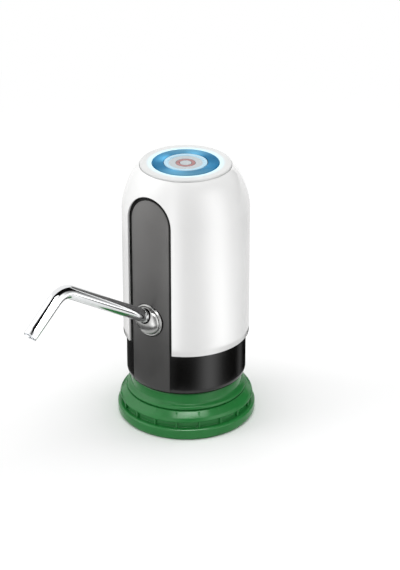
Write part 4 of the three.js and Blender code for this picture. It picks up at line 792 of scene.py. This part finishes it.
# White shell, with its arched front cut and the charging port's hole
def outer_shell():
    around, low_rows, arch_rows = 200, 25, 24
    strip = [(0.24, 0.05), (0.11, 0.14), (0.03, 0.27), (0.0, 0.4)]
    start, straight = SHELL_BOTTOM + SHELL_EDGE, ARCH_SPRING - SHELL_BOTTOM - SHELL_EDGE
    rows = [("low", SHELL_BOTTOM, 0.4 * MM), ("low", SHELL_BOTTOM + 0.06 * MM, 0.2 * MM),
            ("low", SHELL_BOTTOM + 0.2 * MM, 0.06 * MM), ("low", start, 0.0)]
    rows += [("low", start + straight * k / low_rows, 0.0) for k in range(1, low_rows + 1)]
    rows += [("arch", math.pi / 2 * k / arch_rows, 0.0) for k in range(1, arch_rows + 1)]

    def hole(row, margin):
        """The front cut's half width, its height and the least inset there."""
        kind, value, inset = row
        if kind == "low":
            return ARCH_HALF + margin, value, inset
        return ((ARCH_HALF + margin) * math.cos(value),
                ARCH_SPRING + (ARCH_RISE + margin) * math.sin(value), inset)

    def rim_points(row, side, cuts):
        """The rounded edge of the cut on one side, by margin and depth."""
        found = []
        for margin, depth in cuts:
            width, height, inset = hole(row, margin * MM)
            radius = dome_radius(height, max(inset, depth * MM))
            x = min(width, radius)
            found.append((side * x, -math.sqrt(max(radius * radius - x * x, 0)), height))
        return found

    def arc(width, height, inset):
        """Round the back, from one side of the cut to the other."""
        radius = dome_radius(height, inset)
        edge = math.asin(min(width / radius, 1))
        return [on_wall(radius, edge + (2 * math.pi - 2 * edge) * j / around, height)
                for j in range(around + 1)]

    points, loops = [], []
    for row in rows:
        width, height, _ = hole(row, 0.0)
        loop = arc(*hole(row, SHELL_EDGE)) + rim_points(row, -1, strip)
        loop += arc(width, height, SHELL_WALL)[::-1] + rim_points(row, 1, strip[::-1])
        loops.append(range(len(points), len(points) + len(loop)))
        points += loop
    size = len(loops[0])
    faces = bands(len(loops), size)
    first, extra = loops[0], len(strip)
    inner = around + 1 + extra
    for j in range(around):
        faces.append((first[j + 1], first[j], first[inner + around - j], first[inner + around - j - 1]))
    faces.append(tuple(first[around + k] for k in range(extra + 2)))
    faces.append((first[0], *[first[size - 1 - k] for k in range(extra)], first[inner + around]))

    rim = dome_height(OPENING_RADIUS, 0)
    outer_rows = dome_rows(ARCH_TOP + SHELL_EDGE, rim, 0.0, 22)
    inner_rows = dome_rows(ARCH_TOP, LEDGE_BOTTOM, SHELL_WALL, 14)
    lip = [(OPENING_RADIUS, rim - 0.3 * MM), (OPENING_RADIUS, LEDGE_TOP), (LEDGE_RADIUS, LEDGE_TOP),
           (LEDGE_RADIUS, LEDGE_BOTTOM)]
    last = loops[-1]
    rings = [[last[j] for j in range(around)]]
    for radius, height in outer_rows + lip + inner_rows[::-1]:
        rings.append(range(len(points), len(points) + around))
        points += [on_wall(radius, 2 * math.pi * j / around, height) for j in range(around)]
    rings.append([last[inner + around - j] for j in range(around)])
    for below, above in zip(rings, rings[1:]):
        for j in range(around):
            k = (j + 1) % around
            faces.append((below[j], below[k], above[k], above[j]))
    body = from_faces("shell_moulding", points, faces)
    port = port_solid("port", 7.0 * MM, 4.5 * MM, 2.0 * MM, 20 * MM, 60 * MM)
    combined(body, port)
    shown(smooth(body), "pump_housing", "white_shell", white_shell, "outer_shell")


def port_solid(name, half_width, half_tall, corner, near, far):
    """A rounded rectangle in X and Z about the port's middle, run along Y."""
    outline, steps = [], 8
    for turn, (sx, sz) in enumerate(((1, 1), (-1, 1), (-1, -1), (1, -1))):
        for k in range(steps + 1):
            angle = math.pi / 2 * (turn + k / steps)
            outline.append((sx * (half_width - corner) + corner * math.cos(angle),
                            PORT_Z + sz * (half_tall - corner) + corner * math.sin(angle)))
    points = [(x, y, z) for y in (near, far) for x, z in outline]
    return from_faces(name, points, bands(2, len(outline)) + ends(2, len(outline)))


# Top: grey ring, lit blue ring and the button with its inlaid ring
def below_top(points):
    """Millimetre corners of [radius, depth below the top] as metres."""
    return [(radius * MM, UNIT_TOP - depth * MM) for radius, depth in points]


def rounded_below_top(points, radii):
    return rounded(below_top(points), radii)


def top_pieces():
    bezel = turned("bezel_ring", rounded_below_top([
        (20.0, 3.6), (20.0, 0.3), (27.1, 0.3), (27.1, 2.5), (23.4, 2.5), (23.4, 5.3), (18.2, 5.3),
        (18.2, 3.6)], [0, 0.35, 0.7, 0.1, 0.1, 0.2, 0.2, 0]), 160)
    shown(smooth(bezel), "pump_housing", "grey_plastic", bezel_grey, "top_bezel")
    light = turned("light_guide", rounded_below_top([
        (13.3, 3.3), (13.3, 0), (19.7, 0), (19.7, 3.3), (16.0, 3.3)], [0, 0.35, 0.5, 0.1, 0]), 144)
    shown(smooth(light), "pump_housing", "blue_light", light_blue, "light_ring")
    cap = turned("button_moulding", below_top([
        (0, 4.1), (2.0, 4.1), (2.0, 2.2), (11.2, 2.2), (11.2, 4.8), (14.6, 4.8), (14.6, 3.6),
    ]) + rounded_below_top([
        (12.9, 3.6), (12.9, 0), (10.7, 0), (10.1, 0.5), (5.95, 0.5), (5.95, 1.4), (3.45, 1.4),
        (3.45, 0.5), (0, 0.5)], [0, 0.5, 0.5, 0.4, 0.05, 0, 0, 0.05, 0]), 144, closed=False)
    shown(smooth(cap), "button", "grey_plastic", button_grey, "button_cap")
    icon = turned("button_inlay", rounded_below_top([
        (3.7, 1.1), (3.7, 0.5), (5.7, 0.5), (5.7, 1.1), (4.5, 1.1)], [0, 0.12, 0.12, 0, 0]), 96)
    shown(smooth(icon), "button", "icon_red", icon_red, "button_icon")


# Outlet: the domed escutcheon, cut open for the pipe
def escutcheon():
    rim, start, tall, steps = 8.85 * MM, 36.35 * MM, 4.35 * MM, 17
    angles = [math.pi / 2 * k / steps for k in range(1, steps)]
    dome = [(rim * math.cos(a), start + tall * math.sin(a)) for a in angles]
    outline = [(0, 31.6 * MM), (8.9 * MM, 31.6 * MM), (8.9 * MM, 35.3 * MM), *rounded([
        (10.1 * MM, 35.3 * MM), (10.2 * MM, 35.4 * MM), (10.2 * MM, 36.0 * MM),
        (9.6 * MM, 36.9 * MM), (9.0 * MM, 36.75 * MM), (rim, start)],
        [0, 0.05, 0.3, 0.35, 0.15, 0]), *dome, (0, start + tall)]
    body = placed(turned("escutcheon_spinning", outline, 128, closed=False), along_front())
    combined(body, plug("pipe", 4.6 * MM, 0, 30 * MM, 72, along_outlet()))
    combined(body, plug("room", 6.0 * MM, -12 * MM, 2.5 * MM, 72, along_outlet()))
    shown(smooth(body), "pump_housing", "escutcheon_metal", escutcheon_satin, "outlet_escutcheon")


# Spout: one bent steel pipe with an open, rounded mouth
def spout():
    run, leg, bend, turn = 91.9 * MM, 33.5 * MM, 12.5 * MM, math.radians(66)
    plugged, lip, sides = 12.5 * MM, 0.22 * MM, 48
    straight_rows, bend_rows, leg_rows, lip_rows = 12, 28, 6, 6
    tangent = bend * math.tan(turn / 2)
    line = []
    start, first = -plugged, run - tangent
    for k in range(straight_rows + 1):
        line.append((0.0, start + (first - start) * k / straight_rows, 0.0))
    for k in range(1, bend_rows + 1):
        angle = turn * k / bend_rows
        line.append((-bend * (1 - math.cos(angle)), first + bend * math.sin(angle), angle))
    end = line[-1]
    for k in range(1, leg_rows + 1):
        length = (leg - tangent) * k / leg_rows
        line.append((end[0] - math.sin(turn) * length, end[1] + math.cos(turn) * length, turn))
    middle, wall = (PIPE_RADIUS + PIPE_BORE) / 2, (PIPE_RADIUS - PIPE_BORE) / 2

    def ring(place, radius, shift=0.0):
        y, z, angle = place
        ahead = Vector((0, -math.sin(angle), math.cos(angle)))
        side = Vector((0, math.cos(angle), math.sin(angle)))
        centre = Vector((0, y, z)) + ahead * shift
        return [centre + Vector((1, 0, 0)) * radius * math.cos(a) + side * radius * math.sin(a)
                for a in [2 * math.pi * i / sides for i in range(sides)]]

    def wall_rings(radius):
        shifts = [lip] + [0.0] * (len(line) - 2) + [-lip]
        return [ring(place, radius, shift) for place, shift in zip(line, shifts)]

    def lip_rings(place, side):
        found = []
        for k in range(1, lip_rows):
            angle = side * (math.pi / 2 - math.pi * k / lip_rows)
            found.append(ring(place, middle + wall * math.sin(angle), side * lip * (math.cos(angle) - 1)))
        return found

    rings = wall_rings(PIPE_RADIUS) + lip_rings(line[-1], 1)
    rings += wall_rings(PIPE_BORE)[::-1] + lip_rings(line[0], -1)
    points, faces = [p for r in rings for p in r], bands(len(rings), sides, True)
    body = placed(from_faces("spout_pipe", points, faces), along_outlet())
    shown(smooth(body, 40), "spout", "polished_steel", polished, "spout_tube")


# Charging port's rubber cover
def port_cover():
    body = port_solid("port_flap", 6.7 * MM, 4.2 * MM, 2.0 * MM, 20 * MM, 60 * MM)
    inner = SHELL_RADIUS - SHELL_WALL
    skin = turned("skin", [(inner, 55 * MM), (SHELL_RADIUS, 55 * MM), (SHELL_RADIUS, 80 * MM),
                           (inner, 80 * MM)], 240)
    combined(body, skin, "INTERSECT")
    pad = port_solid("pad", 3.7 * MM, 1.3 * MM, 1.25 * MM, 35.5 * MM, 37.3 * MM)
    combined(body, pad, "UNION")
    low = PORT_Z - 4.2 * MM
    tab = block("tab", (-2.5 * MM, 37.3 * MM, low), (2.5 * MM, 38.75 * MM, low + 1.2 * MM))
    combined(body, tab, "UNION")
    shown(smooth(body), "port_cover", "dark_rubber", rubber, "port_cover")


neck_nut()
neck_spigot()
lower_housing()
front_panel()
outer_shell()
top_pieces()
escutcheon()
spout()
port_cover()

# Carried-over nodes keep their shape and get their materials
finishes = {
    rubber: ["neck_gasket", "switch_plunger", "tact_switch", "inlet_valve", "outlet_valve",
             "diaphragm", "ferrule_seal", "spout_seal"],
    silicone: ["neck_sleeve", "inlet_tube", "outlet_tube"],
    grey: ["spout_ferrule", "wobble_plate", *numbered("status_lamp", 4)],
    frame_grey: ["outlet_socket", "inlet_fitting", "inlet_nut", "inner_frame", "valve_plate",
                 "eccentric_hub"],
    pump_black: ["pump_cover", "pump_case", "motor_cap"],
    satin: [*numbered("deck_screw", 3), *numbered("pump_screw", 3), "motor_can", "usb_socket"],
    polished: ["motor_shaft", "wobble_pin"],
    board: ["charge_board", "control_board"],
    battery: ["battery_cell"],
    copper: ["commutator"],
    ferrite: ["motor_magnet", "armature"],
    lead_red: ["motor_lead_red", "battery_lead_red", "charge_lead_red"],
    lead_black: ["motor_lead_black", "battery_lead_black", "charge_lead_black"],
}
for material, names in finishes.items():
    for name in names:
        dressed(nodes[name], material)


# Floor, camera and light
BACK = Vector(on_wall(math.cos(ELEVATION), AZIMUTH, math.sin(ELEVATION)))
RIGHT = Vector((math.cos(AZIMUTH), math.sin(AZIMUTH), 0))


def soft_light(angle, centre, width, strength):
    """A light that fades softly to both sides, by degrees round the wall from the camera."""
    return strength * math.exp(-((angle - centre) / width) ** 2)


def wall_light(angle, height):
    """Two tall windows and a wide screen at the left, which fade up the dome."""
    climb = clamped((height - 62 * MM) / (63 * MM))
    up = clamped((height - 125 * MM) / (35 * MM))
    front, dim, left = 0.65 * (1 - up), 0.42 * (1 - up) + 0.06, 0.65 + 0.4 * up
    level = float(np.interp(angle, (-50, -10, 50, 63, 80), (left, front, front, dim, 0.75)))
    level += soft_light(angle, -40, 20, 0.45 + 1.2 * up)
    level += soft_light(angle, -13, 8, 2.4 - 1.8 * up ** 2)
    return level + soft_light(angle, 33 - 4 * climb, 14, 2.75 * (1 - up ** 10))


def base_light(angle, _):
    """One tall window, a thin one at the right edge and a faint screen at the left."""
    level = float(np.interp(angle, (-62, -60, -16, -8), (0.05, 0.2, 0.2, 0.0)))
    return level + soft_light(angle, 23, 11, 1.5) + soft_light(angle, 64, 5, 0.25)


def only_reflected(piece):
    """Hides a sheet or a card from all but reflections."""
    piece.visible_camera = False
    piece.visible_diffuse = False
    piece.visible_transmission = False
    piece.visible_volume_scatter = False
    piece.visible_shadow = False


def glowing(name, points, faces, levels):
    """A sheet of light seen only in reflections, with a radiance for each of its points."""
    mesh = bpy.data.meshes.new(name)
    mesh.from_pydata(points, [], faces)
    colours = [part for level in levels for part in (level, level, level, 1.0)]
    mesh.color_attributes.new("glow", "FLOAT_COLOR", "POINT").data.foreach_set("color", colours)
    sheet = bpy.data.objects.new(name, mesh)
    bpy.context.scene.collection.objects.link(sheet)
    material, tree, shader = new_material(name)
    tree.nodes.remove(shader)
    glow = tree.nodes.new("ShaderNodeEmission")
    shade = tree.nodes.new("ShaderNodeAttribute")
    shade.attribute_name = "glow"
    tree.links.new(shade.outputs["Color"], glow.inputs["Color"])
    tree.links.new(glow.outputs["Emission"], tree.nodes["Material Output"].inputs["Surface"])
    dressed(sheet, material)
    only_reflected(sheet)


def mirrored(name, radius_at, heights, light):
    """A sheet of light that a round wall mirrors to the camera, seen only in reflections.

    Every point of it lies where the wall sends the camera's ray, on the floor or a long way off.
    heights are the mirrored heights, and light gives the radiance for an angle and a height."""
    steps = [-90 + 1.5 * k for k in range(121)]
    points, glow = [], []
    for step in steps:
        here = AZIMUTH + math.radians(step)
        for height in heights:
            drop = radius_at(height - SHEET_STEP) - radius_at(height + SHEET_STEP)
            tilt = math.atan2(drop, 2 * SHEET_STEP)
            normal = Vector(on_wall(math.cos(tilt), here, math.sin(tilt)))
            ray = 2 * normal.dot(BACK) * normal - BACK
            reach = min((height - SHEET_LIFT) / max(-ray.z, 1e-6), SHEET_REACH)
            points.append(Vector(on_wall(radius_at(height), here, height)) + ray * reach)
            glow.append(light(step, height))
    glowing(name, points, bands(len(steps), len(heights), closed=False), glow)


def dark_strip(first, second, widths, overruns):
    """A curved black card overhead, which draws the dark line along the steel pipe.

    It runs from one direction to another, past each by its overrun, with a half width at each end."""
    a, b = Vector(first).normalized(), Vector(second).normalized()
    axis = a.cross(b).normalized()
    whole = math.degrees(a.angle(b)) + sum(overruns)
    points, count = [], 24
    for k in range(count + 1):
        share = k / count
        ahead = Matrix.Rotation(math.radians(whole * share - overruns[0]), 3, axis) @ a
        half = widths[0] + (widths[1] - widths[0]) * share
        for lean in (-math.radians(half), 0.0, math.radians(half)):
            points.append((ahead * math.cos(lean) + axis * math.sin(lean)) * CARD_DISTANCE + CARD_CENTRE)
    strip = from_faces("dark_strip", points, bands(count + 1, 3, closed=False))
    dressed(strip, surface("card_black", (0.004, 0.004, 0.004), (0.003, 0.003, 0.003), (0.9, 1.0),
                           Specular_IOR_Level=0.0))
    only_reflected(strip)


def place_camera():
    scene = bpy.context.scene
    camera = bpy.data.cameras.new("camera")
    camera.lens = LENS
    camera.sensor_width = 36.0
    camera.clip_end = 30.0
    view = bpy.data.objects.new("camera", camera)
    view.location = Vector((0, 0, TARGET_HEIGHT)) + RIGHT * TARGET_SHIFT + BACK * DISTANCE
    view.rotation_euler = BACK.to_track_quat("Z", "Y").to_euler()
    scene.collection.objects.link(view)
    scene.camera = view


def lay_floor():
    """A pale floor that fades to plain white further out."""
    floor = plug("floor", FLOOR_RADIUS, -FLOOR_DEPTH, 0, 96, Matrix())
    floor.location.z = -FLOOR_GAP
    material, tree, shader = new_material("floor_pale")
    pale = blended(tree, patches(tree, 8.0), (0.95, 0.95, 0.95), (0.96, 0.96, 0.96))
    tree.links.new(pale, shader.inputs["Base Color"])
    socket(shader, "Roughness", 0.9)
    socket(shader, "Specular IOR Level", 0.0)
    far = tree.nodes.new("ShaderNodeEmission")
    far.inputs["Strength"].default_value = 1.0
    mix = tree.nodes.new("ShaderNodeMixShader")
    fade = mapped(tree, radius_of(tree), *FLOOR_FADE, 0.0, 1.0, "SMOOTHSTEP")
    tree.links.new(fade, mix.inputs["Fac"])
    tree.links.new(shader.outputs["BSDF"], mix.inputs[1])
    tree.links.new(far.outputs["Emission"], mix.inputs[2])
    tree.links.new(mix.outputs["Shader"], tree.nodes["Material Output"].inputs["Surface"])
    dressed(floor, material)


def light_world():
    """A white background, dimmer as a light than it looks."""
    world = bpy.data.worlds.new("studio")
    world.use_nodes = True
    bpy.context.scene.world = world
    tree = world.node_tree
    ground = tree.nodes["Background"]
    ground.inputs["Color"].default_value = (1, 1, 1, 1)
    path = tree.nodes.new("ShaderNodeLightPath")
    seen = maths(tree, "MAXIMUM", path.outputs["Is Camera Ray"], path.outputs["Is Glossy Ray"])
    seen = maths(tree, "MAXIMUM", seen, path.outputs["Is Transmission Ray"])
    tree.links.new(mapped(tree, seen, 0.0, 1.0, AMBIENT, 1.0), ground.inputs["Strength"])


def lamp(name, place, aim, width, height, power):
    light = bpy.data.lights.new(name, "AREA")
    light.shape = "RECTANGLE"
    light.size, light.size_y = width, height
    light.energy = power
    piece = bpy.data.objects.new(name, light)
    piece.location = place
    piece.rotation_euler = (Vector(place) - Vector(aim)).to_track_quat("Z", "Y").to_euler()
    piece.visible_glossy = False
    bpy.context.scene.collection.objects.link(piece)
    return piece


def hang_lamps():
    middle = (0, 0, 0.08)
    lamp("key", (-0.9, -1.0, 1.3), middle, 0.8, 0.8, 5.0)
    lamp("top", (0.0, 0.0, 1.5), middle, 1.2, 1.2, 9.0)
    lamp("side", (0.60, 0.98, 1.04), middle, 0.8, 0.8, 3.2)

    # A narrow beam that only the collar's front mirrors
    place = Vector(on_wall(0.115, AZIMUTH, 0.150)) + RIGHT * 0.015
    glint = lamp("glint", place, on_wall(0.037, AZIMUTH, 0.017), 0.16, 0.05, 0.04)
    glint.data.spread = math.radians(60)
    glint.visible_glossy = True
    glint.visible_diffuse = False
    glint.visible_camera = False


def hang_sheets():
    """A sheet of light for the shell and one for the base, and a dark card for the spout."""
    wall = np.linspace(SHELL_BOTTOM, DOME_START, 12).tolist()
    dome = [DOME_START + k * MM for k in (1, 2, 3.5, 5, 7, 9, 11, 13, 15, 17, 19, 21, 22.5, 24, 25, 26)]
    mirrored("wall_reflector", lambda z: dome_radius(z, 0), wall + dome, wall_light)
    base = np.linspace(BASE_BOTTOM, SHELL_BOTTOM - 0.2 * MM, 12).tolist()
    mirrored("base_reflector", lambda z: HOUSING_RADIUS, base, base_light)
    dark_strip((0.21, -0.22, 0.95), (0.28, 0.96, 0.0), (26.0, 18.0), (12.0, 0.0))


place_camera()
lay_floor()
light_world()
hang_lamps()
hang_sheets()
bpy.context.scene.view_settings.view_transform = "Standard"
